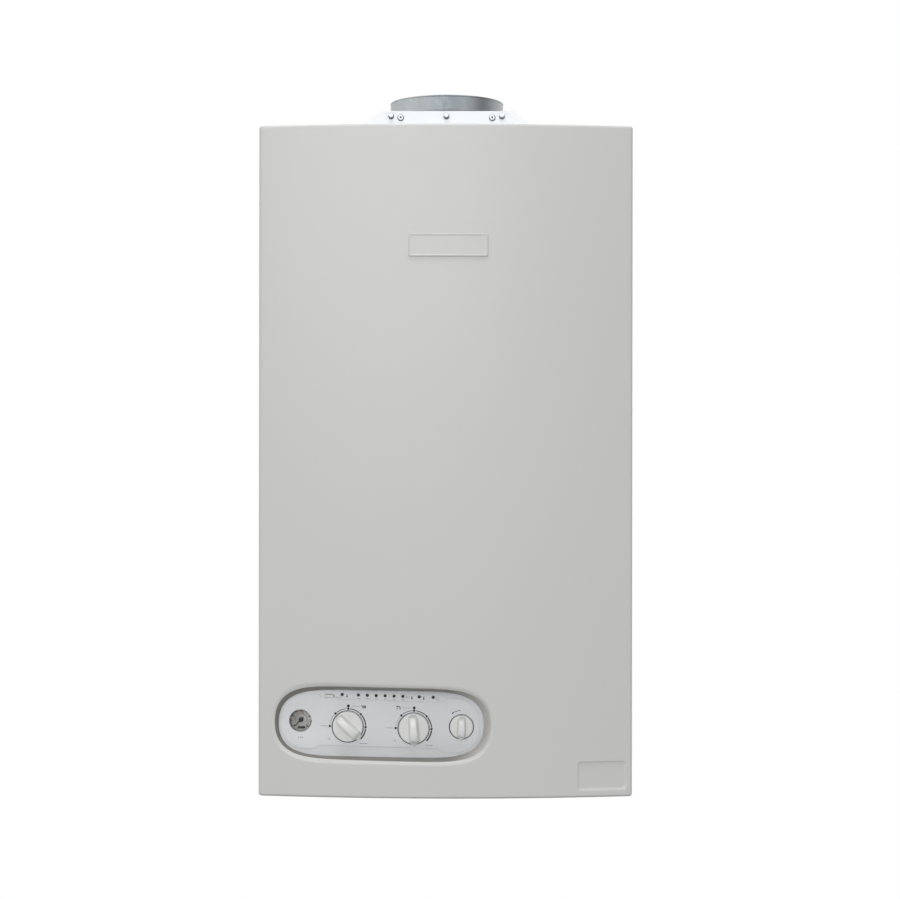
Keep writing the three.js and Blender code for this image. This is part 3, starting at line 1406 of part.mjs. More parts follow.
function gaugeBody() {
  const [x, z] = onPanel(gauge.x, gauge.z);
  const outer = gauge.cup + gauge.cupWall;
  const mouth = gauge.back - seat;
  const profile = [
    [0, 0],
    [outer, 0],
    [outer, mouth],
    [gauge.cup, mouth],
    [gauge.cup, mouth - gauge.dialDepth],
    [0, mouth - gauge.dialDepth],
  ];
  return turned(profile, [x, -panelBack + gauge.back, z], forward, fine);
}

function gaugeLens() {
  const [x, z] = onPanel(gauge.x, gauge.z);
  return rod([x, -panelBack + seat + gauge.lensSheet, z], [x, -panelBack + seat, z], gauge.lens, fine);
}

function gaugeNeedle() {
  const [x, z] = onPanel(gauge.x, gauge.z);
  const dial = panelBack - seat - gauge.dialDepth;
  const turn = THREE.MathUtils.degToRad(gauge.zeroTurn);
  const place = ([u, v]) => [
    x + u * Math.cos(turn) - v * Math.sin(turn),
    z + u * Math.sin(turn) + v * Math.cos(turn),
  ];
  const blade = drawnForward([
    [-gauge.needleHalf, -gauge.tail],
    [gauge.needleHalf, -gauge.tail],
    [gauge.needleHalf / 3, gauge.needle],
    [-gauge.needleHalf / 3, gauge.needle],
  ].map(place), dial + gauge.needleGap, gauge.needleSheet);
  const hub = rod(
    [x, -dial - gauge.needleGap, z], [x, -dial - gauge.needleGap - gauge.hubHeight, z], gauge.hub, coarse,
  );
  const arbor = rod([x, -dial - seat, z], [x, -dial - gauge.needleGap - gauge.needleSheet, z], gauge.arbor, 8);
  return joined(blade, hub, arbor);
}

// Assembly

piece('back_frame', backFrame(), finish.galvanised);
piece('wall_bracket', wallBracket(), finish.zinc);
piece('top_panel', topPanelSheet(), finish.paint);
piece('bottom_plate', floorSheet(), finish.galvanised);
piece('left_chassis_plate', chassisPlate(-1), finish.galvanised);
piece('right_chassis_plate', chassisPlate(1), finish.galvanised);
piece('front_cover', frontCover(), finish.paint);
piece('name_plate', namePlate(), finish.paint);
piece('cover_screw_left', coverScrewAt(-1), finish.zinc);
piece('cover_screw_right', coverScrewAt(1), finish.zinc);
piece('draught_hood', draughtHood(), finish.galvanised);
piece('flue_collar', flueCollar(), finish.galvanised);
piece('hood_front_plate', hoodFrontPlate(), finish.hoodPaint);
for (const place of screwPlaces()) piece(place.name, hoodScrew(place), finish.zinc);
piece('flue_thermostat', flueThermostat(), finish.zinc);
piece('combustion_chamber', combustionChamber(), finish.galvanised);
piece('chamber_lining', chamberLining(), finish.fibre);
piece('heat_exchanger', heatExchanger(), finish.copper);
piece('burner_rack', burnerRack(), finish.stainless);
piece('gas_manifold', gasManifold(), finish.zinc);
piece('ignition_electrode', electrodeAt(-1), finish.ceramic);
piece('flame_electrode', electrodeAt(1), finish.ceramic);
piece('gas_valve', gasValve(), finish.castAlloy);
piece('gas_inlet_pipe', gasInletPipe(), finish.copper);
piece('gas_feed_pipe', gasFeedPipe(), finish.copper);
piece('expansion_vessel', expansionVessel(), finish.redPaint);
piece('vessel_pipe', vesselPipe(), finish.copper);
piece('return_block', returnBlock(), finish.brass);
piece('flow_block', flowBlock(), finish.brass);
piece('diverter_actuator', diverterActuator(), finish.blackPlastic);
piece('plate_exchanger', plateExchanger(), finish.stainless);
piece('pump_body', pumpBody(), finish.castAlloy);
piece('pump_motor', pumpMotor(), finish.darkPaint);
piece('air_vent', airVent(), finish.brass);
piece('exchanger_return_pipe', waterRun(1, pump.top), finish.copper);
piece('exchanger_flow_pipe', waterRun(-1, waterPipe.portTop), finish.copper);
for (const { name, x } of stubPlaces()) piece(name, pipeStub(x), finish.brass);
piece('safety_valve_knob', safetyValveKnob(), finish.redPlastic);
piece('filling_tap_knob', fillingTapKnob(), finish.blackPlastic);
piece('hinge_rod', hingeRod(), finish.zinc);
piece('control_box', controlBox(), finish.greyPlastic);
piece('control_fascia', controlFascia(), finish.whitePlastic);
piece('circuit_board', circuitBoard(), finish.board);
for (const knob of knobs) piece(knob.name, knobSolid(knob), finish.knobPlastic);
piece('reset_button', resetButton(), finish.knobPlastic);
piece('status_lights', statusLights(), finish.smoked);
piece('gauge_body', gaugeBody(), finish.greyPlastic);
piece('gauge_needle', gaugeNeedle(), finish.blackPlastic);
piece('gauge_lens', gaugeLens(), finish.clear);

// The origin is the middle of the wall bracket's back.
boiler.position.z = -bracketZ;

export default boiler;
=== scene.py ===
"""The gas boiler dressed for the photograph: fine meshes, materials, light and camera."""
import json
import math

import bmesh
import bpy
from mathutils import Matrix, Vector
from mathutils.geometry import delaunay_2d_cdt

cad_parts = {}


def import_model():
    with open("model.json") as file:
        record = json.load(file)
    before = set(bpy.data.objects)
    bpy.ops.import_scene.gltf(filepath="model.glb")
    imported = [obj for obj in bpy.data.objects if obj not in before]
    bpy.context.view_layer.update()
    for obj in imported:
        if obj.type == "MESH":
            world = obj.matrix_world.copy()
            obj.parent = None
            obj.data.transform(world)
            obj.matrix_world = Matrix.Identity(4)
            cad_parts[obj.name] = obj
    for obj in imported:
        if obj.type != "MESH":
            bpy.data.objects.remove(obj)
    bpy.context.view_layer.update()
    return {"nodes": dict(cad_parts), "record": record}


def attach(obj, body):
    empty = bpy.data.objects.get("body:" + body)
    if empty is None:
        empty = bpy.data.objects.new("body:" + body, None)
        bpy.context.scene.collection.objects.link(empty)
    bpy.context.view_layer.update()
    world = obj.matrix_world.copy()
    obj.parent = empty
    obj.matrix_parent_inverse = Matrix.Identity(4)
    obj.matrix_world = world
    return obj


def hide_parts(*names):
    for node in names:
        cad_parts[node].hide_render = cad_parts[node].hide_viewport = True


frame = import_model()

# Sizes of the casing in millimetres: X to the right, -Y forward, Z up from the casing's lower edge

MM = 0.001
BRACKET_Z = 675.0  # height of the frame's origin above the casing's lower edge

WIDTH, HEIGHT, DEPTH, BOW = 400.0, 717.0, 325.0, 18.0
SHEET = 1.2
BACK_GAP = 3.0
EDGE = 4.0  # radius of the upright edges
FOLD = 3.0  # and of the folds at the top and the bottom
LEAST_EDGE = 0.4
TOP_FLANGE, BOTTOM_FLANGE = (12.0, 24.0), (22.0, 10.0)  # how far in the rings of the flanges are

PANEL_X, PANEL_Z = -69.2, 77.1
PANEL_TURN = math.radians(1.66)
PANEL_FRONT, PANEL_BACK, PANEL_STEP = 320.0, 317.0, 0.6
PANEL_HALF = (121.0, 52.0)
PANEL_CORNER = 16.0

OPENING = (-67.2, 78.8, 118.4, 43.6)  # centre and half sizes of the opening at the front surface
STRIP_RIM = (-67.2, 78.6, 115.1, 39.0)  # the same where the grey strip starts
LIP = (-68.6, 76.9, 110.2, 36.0)  # and where the rolled lip ends
ROLL_SHARE, ROLL_FALL = 0.42, 0.16  # shares of the way in and of the fall that the roll takes
ROLL_END = -10  # degrees on the roll, which starts at -90
LIP_POWERS = (6.1, 2.25)  # how square the opening's ends and its long sides are
LIP_TURN = math.radians(0.95)
LIP_END = 321.4
OPENING_PATCH = (-190.0, 54.0, 30.0, 126.0)

RECESS = (141.4, 193.0, 7.9, 37.8)
RECESS_DEPTH, RECESS_CORNER = 1.5, 3.0
RECESS_LEAN = 0.5  # rise of the recess's floor for each millimetre of its depth
RECESS_PATCH = (138.0, 195.4, 4.0, 41.0)

BADGE = (-39.75, 44.95, 575.8, 600.2)
BADGE_THICK, BADGE_CORNER = 1.6, 1.5

HOOD_TOP = 747.2
HOOD_FRONT = 238.0
FLUE_Y = 145.0
FLUE_RADIUS, FLUE_WALL, FLUE_HEIGHT = 65.0, 1.0, 23.6
FLUE_FOOT, FLUE_FOOT_HEIGHT = 7.0, 1.0


def metres(corner):
    x, y, z = corner
    return Vector((x * MM, y * MM, (z - BRACKET_Z) * MM))


# Shapes


OPEN_HOLES = 2  # the triangulation that leaves holes open
CORNER_REACH = 1e-5  # how near two corners are taken as one in it
SAME_PLACE = 1e-9
SHARPEST = 0.3  # limits how far a sharp corner moves when an outline is drawn in


class Shape:
    """Corners and faces of a mesh, gathered in millimetres."""

    def __init__(self):
        self.corners = []
        self.faces = []

    def ring(self, points):
        start = len(self.corners)
        self.corners.extend(points)
        return list(range(start, start + len(points)))

    def strip(self, lower, upper):
        self.faces.extend(zip(lower, lower[1:] + lower[:1], upper[1:] + upper[:1], upper))

    def strips(self, rows):
        for lower, upper in zip(rows, rows[1:]):
            self.strip(lower, upper)

    def onward(self, before, points):
        """Joins a further ring to a row of corners and gives its row."""
        row = self.ring(points)
        self.strip(before, row)
        return row

    def fan(self, ring, tip):
        centre = self.ring([tip])[0]
        for corner, following in zip(ring, ring[1:] + ring[:1]):
            self.faces.append((corner, following, centre))

    def stack(self, rings, first_cap=True):
        rows = [self.ring(points) for points in rings]
        self.strips(rows)
        if first_cap:
            self.faces.append(tuple(rows[0]))
        self.faces.append(tuple(rows[-1]))
        return rows


def facing(centre, axis, u, v, along):
    """A point beside a centre: u and v across the axis, and a distance along it."""
    x, y, z = centre
    return {
        "forward": (x + u, y - along, z + v),
        "up": (x + u, y + v, z + along),
        "right": (x + along, y + u, z + v),
    }[axis]


def turned(shape, profile, centre, axis, steps):
    """A profile of (radius, distance) pairs turned about an axis. Radius 0 closes an end."""
    rows = []
    for radius, along in profile:
        if radius:
            points = [facing(centre, axis, u, v, along) for u, v in circle(0.0, 0.0, radius, steps)]
            rows.append(shape.ring(points))
        else:
            rows.append(facing(centre, axis, 0.0, 0.0, along))
    for lower, upper in zip(rows, rows[1:]):
        if isinstance(lower, tuple):
            shape.fan(upper, lower)
        elif isinstance(upper, tuple):
            shape.fan(lower, upper)
        else:
            shape.strip(lower, upper)


def spread(low, high, count):
    """Values from low to high in even steps."""
    return [low + (high - low) * step / count for step in range(count + 1)]


def arc(centre_u, centre_v, radius, start, end, steps):
    angles = [math.radians(angle) for angle in spread(start, end, steps)]
    return [(centre_u + radius * math.cos(a), centre_v + radius * math.sin(a)) for a in angles]


def rounded_box(left, right, low, high, radius, steps):
    left, right, low, high = left + radius, right - radius, low + radius, high - radius
    outline = []
    for turn, (u, v) in enumerate(((right, low), (right, high), (left, high), (left, low))):
        outline += arc(u, v, radius, 90 * turn - 90, 90 * turn, steps)
    return outline


def circle(u, v, radius, steps):
    return arc(u, v, radius, 0, 360 - 360 / steps, steps - 1)


def drawn_in(points, distance):
    """A closed outline moved to the left of its direction by a distance."""
    moved = []
    count = len(points)
    for i, point in enumerate(points):
        sides = (Vector(point) - Vector(points[i - 1]), Vector(points[(i + 1) % count]) - Vector(point))
        normals = [Vector((-side.y, side.x)).normalized() for side in sides if side.length > SAME_PLACE]
        normal = sum(normals, Vector((0.0, 0.0))).normalized()
        lean = max(normal.dot(normals[0]), SHARPEST)
        moved.append(tuple(Vector(point) + normal * (distance / lean)))
    return moved


def counter_clockwise(points):
    area = sum(a[0] * b[1] - b[0] * a[1] for a, b in zip(points, points[1:] + points[:1]))
    return points if area > 0 else points[::-1]


def pressed_sheet(shape, outline, holes, back, front, rounding, steps=4):
    """A sheet seen from the front, with holes and rounded front edges."""
    loops = [counter_clockwise(outline)] + [counter_clockwise(hole)[::-1] for hole in holes]
    levels = [(0.0, back)] + arc(rounding, front - rounding, rounding, 180, 90, steps)
    first, last = [], []
    for loop in loops:
        rows = []
        for inset, depth in levels:
            points = drawn_in(loop, inset) if inset else loop
            rows.append(shape.ring([(u, -depth, v) for u, v in points]))
        shape.strips(rows)
        first.append(rows[0])
        last.append(rows[-1])
    for rows in (first, last):
        fill_flat(shape, rows)


def fill_flat(shape, rows):
    """Faces between the first closed row of corners and the rows of the holes in it."""
    order, loops = [], []
    for row in rows:
        loops.append(list(range(len(order), len(order) + len(row))))
        order += row
    places = [Vector((shape.corners[i][0], shape.corners[i][2])) for i in order]
    faces, sources = delaunay_2d_cdt(places, [], loops, OPEN_HOLES, CORNER_REACH)[2:4]
    for face in faces:
        shape.faces.append(tuple(order[sources[corner][0]] for corner in face))


def on_panel(x, z):
    """A place on the control panel, which sits turned by a small angle."""
    turn_cos, turn_sin = math.cos(PANEL_TURN), math.sin(PANEL_TURN)
    return (PANEL_X + x * turn_cos + z * turn_sin, PANEL_Z - x * turn_sin + z * turn_cos)


def on_panel_all(points):
    return [on_panel(x, z) for x, z in points]


def turned_place(centre, turn):
    """A function that gives places beside a centre in a plane turned about the forward axis."""
    x, z = centre
    turn_cos, turn_sin = math.cos(turn), math.sin(turn)
    return lambda u, v, depth: (x + u * turn_cos - v * turn_sin, -depth, z + u * turn_sin + v * turn_cos)


# Pieces


LOOKS = {}  # each material under the name that it was asked for
WELD = 1e-7


def weigh_normals(made):
    modifier = made.modifiers.new("even_shading", "WEIGHTED_NORMAL")
    modifier.keep_sharp = True
    modifier.weight = 100


def placed(name, shape, look):
    """A mesh object with a look, linked to the scene."""
    mesh = bpy.data.meshes.new(name)
    mesh.from_pydata([metres(corner) for corner in shape.corners], [], shape.faces)
    mesh.materials.append(look)
    made = bpy.data.objects.new(name, mesh)
    bpy.context.scene.collection.objects.link(made)
    return made


def piece(name, shape, look, body, *nodes, sharp=50, closed=True):
    made = placed(name, shape, LOOKS[look])
    mesh = made.data
    work = bmesh.new()
    work.from_mesh(mesh)
    bmesh.ops.remove_doubles(work, verts=work.verts, dist=WELD)
    if closed:
        bmesh.ops.recalc_face_normals(work, faces=work.faces)
    work.to_mesh(mesh)
    work.free()
    mesh.shade_smooth()
    mesh.set_sharp_from_angle(angle=math.radians(sharp))
    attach(made, body)
    if nodes:
        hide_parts(*nodes)
    weigh_normals(made)
    return made


# Materials: noise is scaled per metre, depths of bumps are in millimetres


SRGB_TOE, SRGB_TOE_SLOPE, SRGB_LIFT, SRGB_POWER = 0.04045, 12.92, 0.055, 2.4
MIX_FIRST, MIX_SECOND, MIX_RESULT = 6, 7, 2  # the sockets of the mix node for colours
COAT_ROUGHNESS = 0.2


def srgb(red, green, blue):
    def linear(value):
        share = value / 255
        if share <= SRGB_TOE:
            return share / SRGB_TOE_SLOPE
        return ((share + SRGB_LIFT) / (1 + SRGB_LIFT)) ** SRGB_POWER
    return (linear(red), linear(green), linear(blue), 1.0)


def add(tree, kind, output, sockets, **settings):
    """Adds a node, sets it up, links or fills its sockets, and gives one of its outputs."""
    node = tree.nodes.new(kind)
    for name, value in settings.items():
        setattr(node, name, value)
    for key, value in sockets.items():
        if isinstance(value, bpy.types.NodeSocket):
            tree.links.new(value, node.inputs[key])
        else:
            node.inputs[key].default_value = value
    return node.outputs[output]


class Look:
    """A material that is built from nodes."""

    def __init__(self, name, metallic=0.0, roughness=0.5, coat=0.0):
        material = bpy.data.materials.new(name)
        LOOKS[name] = material
        material.use_nodes = True
        self.tree = material.node_tree
        self.sockets = self.tree.nodes["Principled BSDF"].inputs
        self.sockets["Metallic"].default_value = metallic
        self.sockets["Roughness"].default_value = roughness
        self.sockets["Coat Weight"].default_value = coat
        self.sockets["Coat Roughness"].default_value = COAT_ROUGHNESS
        self.place = self.add("TexCoord", "Object", {})

    def add(self, kind, output, sockets, **settings):
        return add(self.tree, "ShaderNode" + kind, output, sockets, **settings)

    def stretched(self, x, y, z):
        return self.add("Mapping", "Vector", {"Scale": (x, y, z), "Vector": self.place})

    def noise(self, scale, detail=4.0, vector=None, distortion=0.0):
        return self.add("TexNoise", "Fac", {
            "Scale": scale, "Detail": detail, "Distortion": distortion, "Vector": vector or self.place,
        })

    def noise_shift(self, scale, amount):
        cloud = self.add("TexNoise", "Color", {"Scale": scale, "Vector": self.place})
        lean = self.add("VectorMath", "Vector", {"Scale": amount, 0: cloud}, operation="SCALE")
        return self.add("VectorMath", "Vector", {0: lean, 1: self.place})

    def cells(self, scale, vector=None, output="Color"):
        return self.add("TexVoronoi", output, {"Scale": scale, "Vector": vector or self.place})

    def bands(self, scale, direction, distortion):
        return self.add(
            "TexWave", "Fac", {"Scale": scale, "Distortion": distortion, "Vector": self.place},
            bands_direction=direction, wave_profile="TRI",
        )

    def near(self, axis, place, reach):
        """1 at a place along an axis, falling softly to 0 at a distance, all in millimetres."""
        along = self.add("SeparateXYZ", axis, {"Vector": self.place})
        away = self.add("Math", "Value", {0: self.maths("SUBTRACT", along, place * MM)}, operation="ABSOLUTE")
        return self.span(away, 1.0, 0.0, 0.0, reach * MM, "SMOOTHSTEP")

    def span(self, value, low, high, from_low=0.0, from_high=1.0, course="LINEAR"):
        return self.add("MapRange", "Result", {
            "Value": value, "From Min": from_low, "From Max": from_high, "To Min": low, "To Max": high,
        }, interpolation_type=course)

    def maths(self, operation, first, second):
        return self.add("Math", "Value", {0: first, 1: second}, operation=operation)

    def mix(self, factor, first, second):
        """Blends two colours, each of them an output or a triple of numbers up to 255."""
        first, second = [srgb(*end) if isinstance(end, tuple) else end for end in (first, second)]
        sockets = {"Factor": factor, MIX_FIRST: first, MIX_SECOND: second}
        return self.add("Mix", MIX_RESULT, sockets, data_type="RGBA")

    def blotches(self, scale, detail, low, light, dark):
        """Two colours in soft patches. The less low is, the softer they are."""
        cloud = self.span(self.noise(scale, detail), 0.0, 1.0, low, 1.0 - low)
        return self.mix(cloud, dark, light)

    def stain_and_shade(self, base, share, strength, shade):
        """A colour over the base, where a share says so."""
        return self.mix(self.maths("MULTIPLY", share, strength), base, shade)

    def finish(self, colour, roughness):
        for name, value in (("Base Color", colour), ("Roughness", roughness)):
            self.tree.links.new(value, self.sockets[name])

    def bump(self, height, depth):
        """A bump whose full height is a depth in millimetres."""
        sockets = {"Distance": depth * MM, "Height": height}
        before = self.sockets["Normal"]
        if before.is_linked:
            sockets["Normal"] = before.links[0].from_socket
        self.tree.links.new(self.add("Bump", "Normal", sockets), before)


def enamel(name, light, dark, roughness=(0.36, 0.46), peel=0.012, shaded_fold=None):
    """Baked paint, with an optional line of painted shade along a fold: the fold's height above the origin,
    the line's reach and its colour.
    """
    look = Look(name, coat=0.1)
    base = look.blotches(4.0, 3.0, 0.3, light, dark)
    # A darker line of painted shade along the fold.
    if shaded_fold:
        height, reach, fold_shade = shaded_fold
        base = look.mix(look.near("Z", height, reach), base, fold_shade)
    look.finish(base, look.span(look.noise(60.0), *roughness))
    look.bump(look.noise(420.0, 3.0), peel)
    look.bump(look.noise(35.0, 2.0), peel * 3)


def shade_strip_look(name, light, dark, pale):
    """A grey strip of painted shade, with painted light at the right end of the opening."""
    look = Look(name)
    base = look.mix(look.noise(24.0, 4.0), light, dark)
    # Painted light at the right end, where the lip's wall turns towards the light.
    base = look.mix(look.near("X", 56.0, 58.0), base, pale)
    look.finish(base, look.span(look.noise(150.0), 0.5, 0.62))
    look.bump(look.noise(500.0, 3.0), 0.02)


def spangled(name, metallic, light, dark, roughness, streak, shade_bands=()):
    """Galvanised sheet. The optional strips across X are bands of painted shade: their middle, reach,
    strength and colour.
    """
    look = Look(name, metallic=metallic)
    spread = look.noise_shift(90.0, 0.01)
    flakes = look.cells(190.0, spread)
    scale, squeeze, most, low, high, strength, shade = streak
    streaks = look.span(look.noise(scale, 5.0, look.stretched(1.0, 1.0, squeeze)), 0.0, most, low, high)
    base = look.mix(flakes, dark, light)
    # Bands of painted shade across X.
    for middle, reach, depth, colour in shade_bands:
        base = look.stain_and_shade(base, look.near("X", middle, reach), depth, colour)
    look.finish(look.stain_and_shade(base, streaks, strength, shade), look.span(flakes, *roughness))
    look.bump(look.noise(500.0, 4.0), 0.01)
    look.bump(look.cells(190.0, spread, "Distance"), 0.02)


def metal(name, light, dark, roughness=(0.22, 0.38), grain=(200.0, 200.0, 12.0), patch=40.0):
    look = Look(name, metallic=0.95)
    lines = look.noise(6.0, 5.0, look.stretched(*grain))
    cloud = look.span(look.noise(patch, 6.0, distortion=0.4), 0.0, 1.0, 0.3, 0.7)
    shine = look.maths("ADD", look.span(lines, *roughness), look.span(cloud, 0.08, -0.04))
    look.finish(look.mix(cloud, dark, light), shine)
    look.bump(lines, 0.01)


def casting(name, light, dark, metallic, roughness, pit):
    look = Look(name, metallic=metallic)
    grain = look.noise(520.0, 5.0)
    look.finish(look.blotches(30.0, 6.0, 0.3, light, dark), look.span(grain, *roughness))
    look.bump(grain, pit)
    look.bump(look.cells(300.0, output="Distance"), pit / 2)


def plastic(name, light, dark, roughness, grain=900.0, depth=0.008, coat=0.0):
    look = Look(name, coat=coat)
    look.finish(look.blotches(24.0, 4.0, 0.35, light, dark), look.span(look.noise(150.0), *roughness))
    look.bump(look.noise(grain, 2.0), depth)
    return look


def ceramic_fibre(name, light, dark):
    look = Look(name)
    strands = look.noise(90.0, 8.0, look.stretched(1.0, 1.0, 4.0), 1.5)
    base = look.mix(look.span(strands, 0.0, 1.0, 0.3, 0.7), dark, light)
    look.finish(base, look.span(strands, 0.88, 1.0))
    look.bump(strands, 0.4)


def printed_board(name, track, ground):
    look = Look(name, coat=0.3)
    tracks = look.span(look.bands(160.0, "X", 6.0), 0.0, 1.0, 0.44, 0.52)
    cross = look.span(look.bands(120.0, "Z", 5.0), 0.0, 1.0, 0.46, 0.54)
    both = look.maths("MULTIPLY", tracks, cross)
    look.finish(look.mix(both, track, ground), look.span(look.noise(80.0), 0.35, 0.5))
    look.bump(both, 0.05)


def clear_window(name, light, dark):
    look = Look(name)
    for socket, value in (("Transmission Weight", 1.0), ("IOR", 1.3), ("Alpha", 0.3), ("Roughness", 0.04)):
        look.sockets[socket].default_value = value
    base = look.mix(look.noise(30.0), light, dark)
    look.tree.links.new(base, look.sockets["Base Color"])
    look.bump(look.noise(60.0, 2.0), 0.004)


# The dark line along the casing's lower fold is painted shade.
enamel("casing_paint", (206, 206, 203), (205, 205, 202), shaded_fold=(-BRACKET_Z, 2.6, (152, 147, 138)))
enamel("hood_paint", (240, 243, 246), (237, 240, 243), (0.3, 0.42))
enamel("pump_paint", (52, 66, 78), (40, 52, 62), (0.35, 0.5), 0.03)
enamel("vessel_paint", (168, 42, 34), (146, 32, 27), (0.3, 0.42), 0.02)
spangled(
    "galvanised_sheet", 0.9, (186, 192, 195), (150, 156, 159), (0.42, 0.58),
    (26.0, 0.06, 1.0, 0.36, 0.64, 0.35, (126, 131, 134)),
)
# The collar's zinc has two bands of painted shade across X. One over the middle dims the lamp's sheen, and a
# darker one at the right stands in for a dark reflection.
spangled(
    "flue_zinc", 0.85, (192, 197, 199), (180, 186, 188), (0.46, 0.6),
    (60.0, 0.05, 0.5, 0.4, 0.7, 0.5, (140, 143, 145)),
    ((0.0, 42.0, 0.95, (122, 128, 133)), (41.0, 25.0, 0.8, (96, 97, 99))),
)
metal("zinc_plate", (206, 209, 212), (160, 164, 168))
# Lit and shaded copies of the screws' zinc: painted shade for the bodies, painted highlight for the faces.
metal("zinc_painted_shade", (124, 127, 130), (86, 89, 92), (0.3, 0.45))
metal("zinc_painted_highlight", (222, 225, 228), (196, 200, 204), (0.35, 0.5))
metal("stainless", (205, 205, 203), (168, 168, 166), (0.18, 0.32), (12.0, 200.0, 200.0))
metal("copper", (196, 122, 84), (146, 84, 58), (0.2, 0.36), (60.0, 60.0, 60.0), 55.0)
metal("brass", (205, 172, 104), (160, 128, 70), (0.22, 0.36), (200.0, 200.0, 200.0), 70.0)
casting("cast_alloy", (172, 174, 176), (140, 142, 145), 0.8, (0.45, 0.62), 0.06)
casting("cast_iron", (98, 100, 104), (74, 76, 80), 0.35, (0.5, 0.7), 0.12)
ceramic_fibre("fibre_board", (236, 232, 221), (205, 197, 178))
plastic("electrode_ceramic", (244, 242, 235), (232, 228, 218), (0.12, 0.22), 300.0, 0.004, 0.6)
plastic("white_plastic", (226, 227, 229), (221, 222, 224), (0.38, 0.48))
plastic("knob_plastic", (232, 232, 230), (226, 226, 224), (0.28, 0.38), 700.0, 0.005, 0.15)
# A grey strip of painted shade on the lip's wall, with painted light at its right end.
shade_strip_look("painted_shade_grey", (132, 129, 123), (122, 119, 113), (206, 204, 199))
plastic("grey_plastic", (112, 114, 117), (100, 102, 105), (0.5, 0.62), 500.0, 0.03)
plastic("black_plastic", (30, 30, 31), (22, 22, 23), (0.4, 0.52), 500.0, 0.02)
plastic("red_plastic", (182, 40, 32), (164, 34, 28), (0.25, 0.35), 400.0, 0.01, 0.3)
plastic("smoked_plastic", (13, 13, 14), (8, 8, 9), (0.3, 0.4), 400.0, 0.003)
printed_board("board_green", (58, 128, 88), (32, 92, 58))
clear_window("clear_lens", (246, 249, 250), (236, 241, 243))
plastic("gauge_dial", (226, 223, 218), (166, 162, 156), (0.4, 0.6), 260.0, 0.05)
plastic("dark_print", (27, 28, 30), (20, 21, 23), (0.5, 0.6), 800.0, 0.004)
plastic("grey_print", (148, 150, 154), (138, 140, 144), (0.5, 0.6), 800.0, 0.004)


# Front cover


SIDE_SLOPE = math.atan2(2 * BOW, WIDTH / 2)  # of the bowed front where it meets the upright edge
END_X = WIDTH / 2 - EDGE + EDGE * math.sin(SIDE_SLOPE)
END_Y = DEPTH - EDGE + EDGE * math.cos(SIDE_SLOPE)
EDGE_STEPS, SIDE_STEPS, FRONT_STEPS, FOLD_STEPS = 8, 8, 160, 8
WALL_STEPS = (9, 4, 30, 46)  # between the levels where the patches begin and end
HAIR = 1e-6
HALVINGS = 40


def bow_at(end_x):
    return BOW * (end_x / (WIDTH / 2)) ** 2


def casing_outline(inset):
    """The casing seen from above, drawn in by a distance, from the back left round to the back right."""
    radius = max(EDGE - inset, LEAST_EDGE)
    corner_x = WIDTH / 2 - inset - radius
    corner_y = -DEPTH + inset + radius
    sweep = 90 - math.degrees(SIDE_SLOPE)
    end_x = corner_x + radius * math.sin(SIDE_SLOPE)
    end_y = corner_y - radius * math.cos(SIDE_SLOPE)
    sides = spread(-BACK_GAP, corner_y, SIDE_STEPS)[:-1]
    places = [x * end_x / END_X for x in front_places()]
    return (
        [(-corner_x - radius, y) for y in sides]
        + arc(-corner_x, corner_y, radius, 180, 180 + sweep, EDGE_STEPS)
        + [(x, end_y - bow_at(end_x) * (1 - (x / end_x) ** 2)) for x in places]
        + arc(corner_x, corner_y, radius, -sweep, 0, EDGE_STEPS)
        + [(corner_x + radius, y) for y in reversed(sides)]
    )


def front_places():
    """Places across the front, with one at each side of both patches."""
    marks = [-END_X, *OPENING_PATCH[:2], *RECESS_PATCH[:2], END_X]
    places = []
    for low, high in zip(marks, marks[1:]):
        count = max(1, round((high - low) / (2 * END_X) * FRONT_STEPS))
        places += spread(low, high, count)[:-1]
    return places[1:]


def front_at(x):
    """How far forward the casing's front is at a place across it."""
    return END_Y + bow_at(END_X) * (1 - min(1.0, (x / END_X) ** 2))


def cover_levels():
    """Pairs of inset and height from the lower flange over the wall to the upper flange."""
    rounding = arc(FOLD, FOLD, FOLD, 270, 180, FOLD_STEPS)
    marks = [FOLD, OPENING_PATCH[2], RECESS_PATCH[3], OPENING_PATCH[3], HEIGHT - FOLD]
    wall = []
    for low, high, count in zip(marks, marks[1:], WALL_STEPS):
        wall += [(0.0, height) for height in spread(low, high, count)[1:]]
    lower = [(inset, 0.0) for inset in BOTTOM_FLANGE] + rounding
    upper = [(inset, HEIGHT - rise) for inset, rise in reversed(rounding)]
    return lower + wall[:-1] + upper + [(inset, HEIGHT) for inset in TOP_FLANGE]


def rim_point(size, direction):
    """Where a ray from the middle of the opening meets its rim, which is turned a little."""
    centre_x, centre_z, half_x, half_z = size
    turn = complex(math.cos(LIP_TURN), math.sin(LIP_TURN))
    ray = complex(*direction) * turn
    ray /= abs(ray)
    u, v = abs(ray.real) / half_x, abs(ray.imag) / half_z
    near, far = 0.0, half_x + half_z
    for step in range(HALVINGS):
        middle = (near + far) / 2
        if (u * middle) ** LIP_POWERS[0] + (v * middle) ** LIP_POWERS[1] < 1:
            near = middle
        else:
            far = middle
    place = ray * near / turn
    return (centre_x + place.real, centre_z + place.imag)


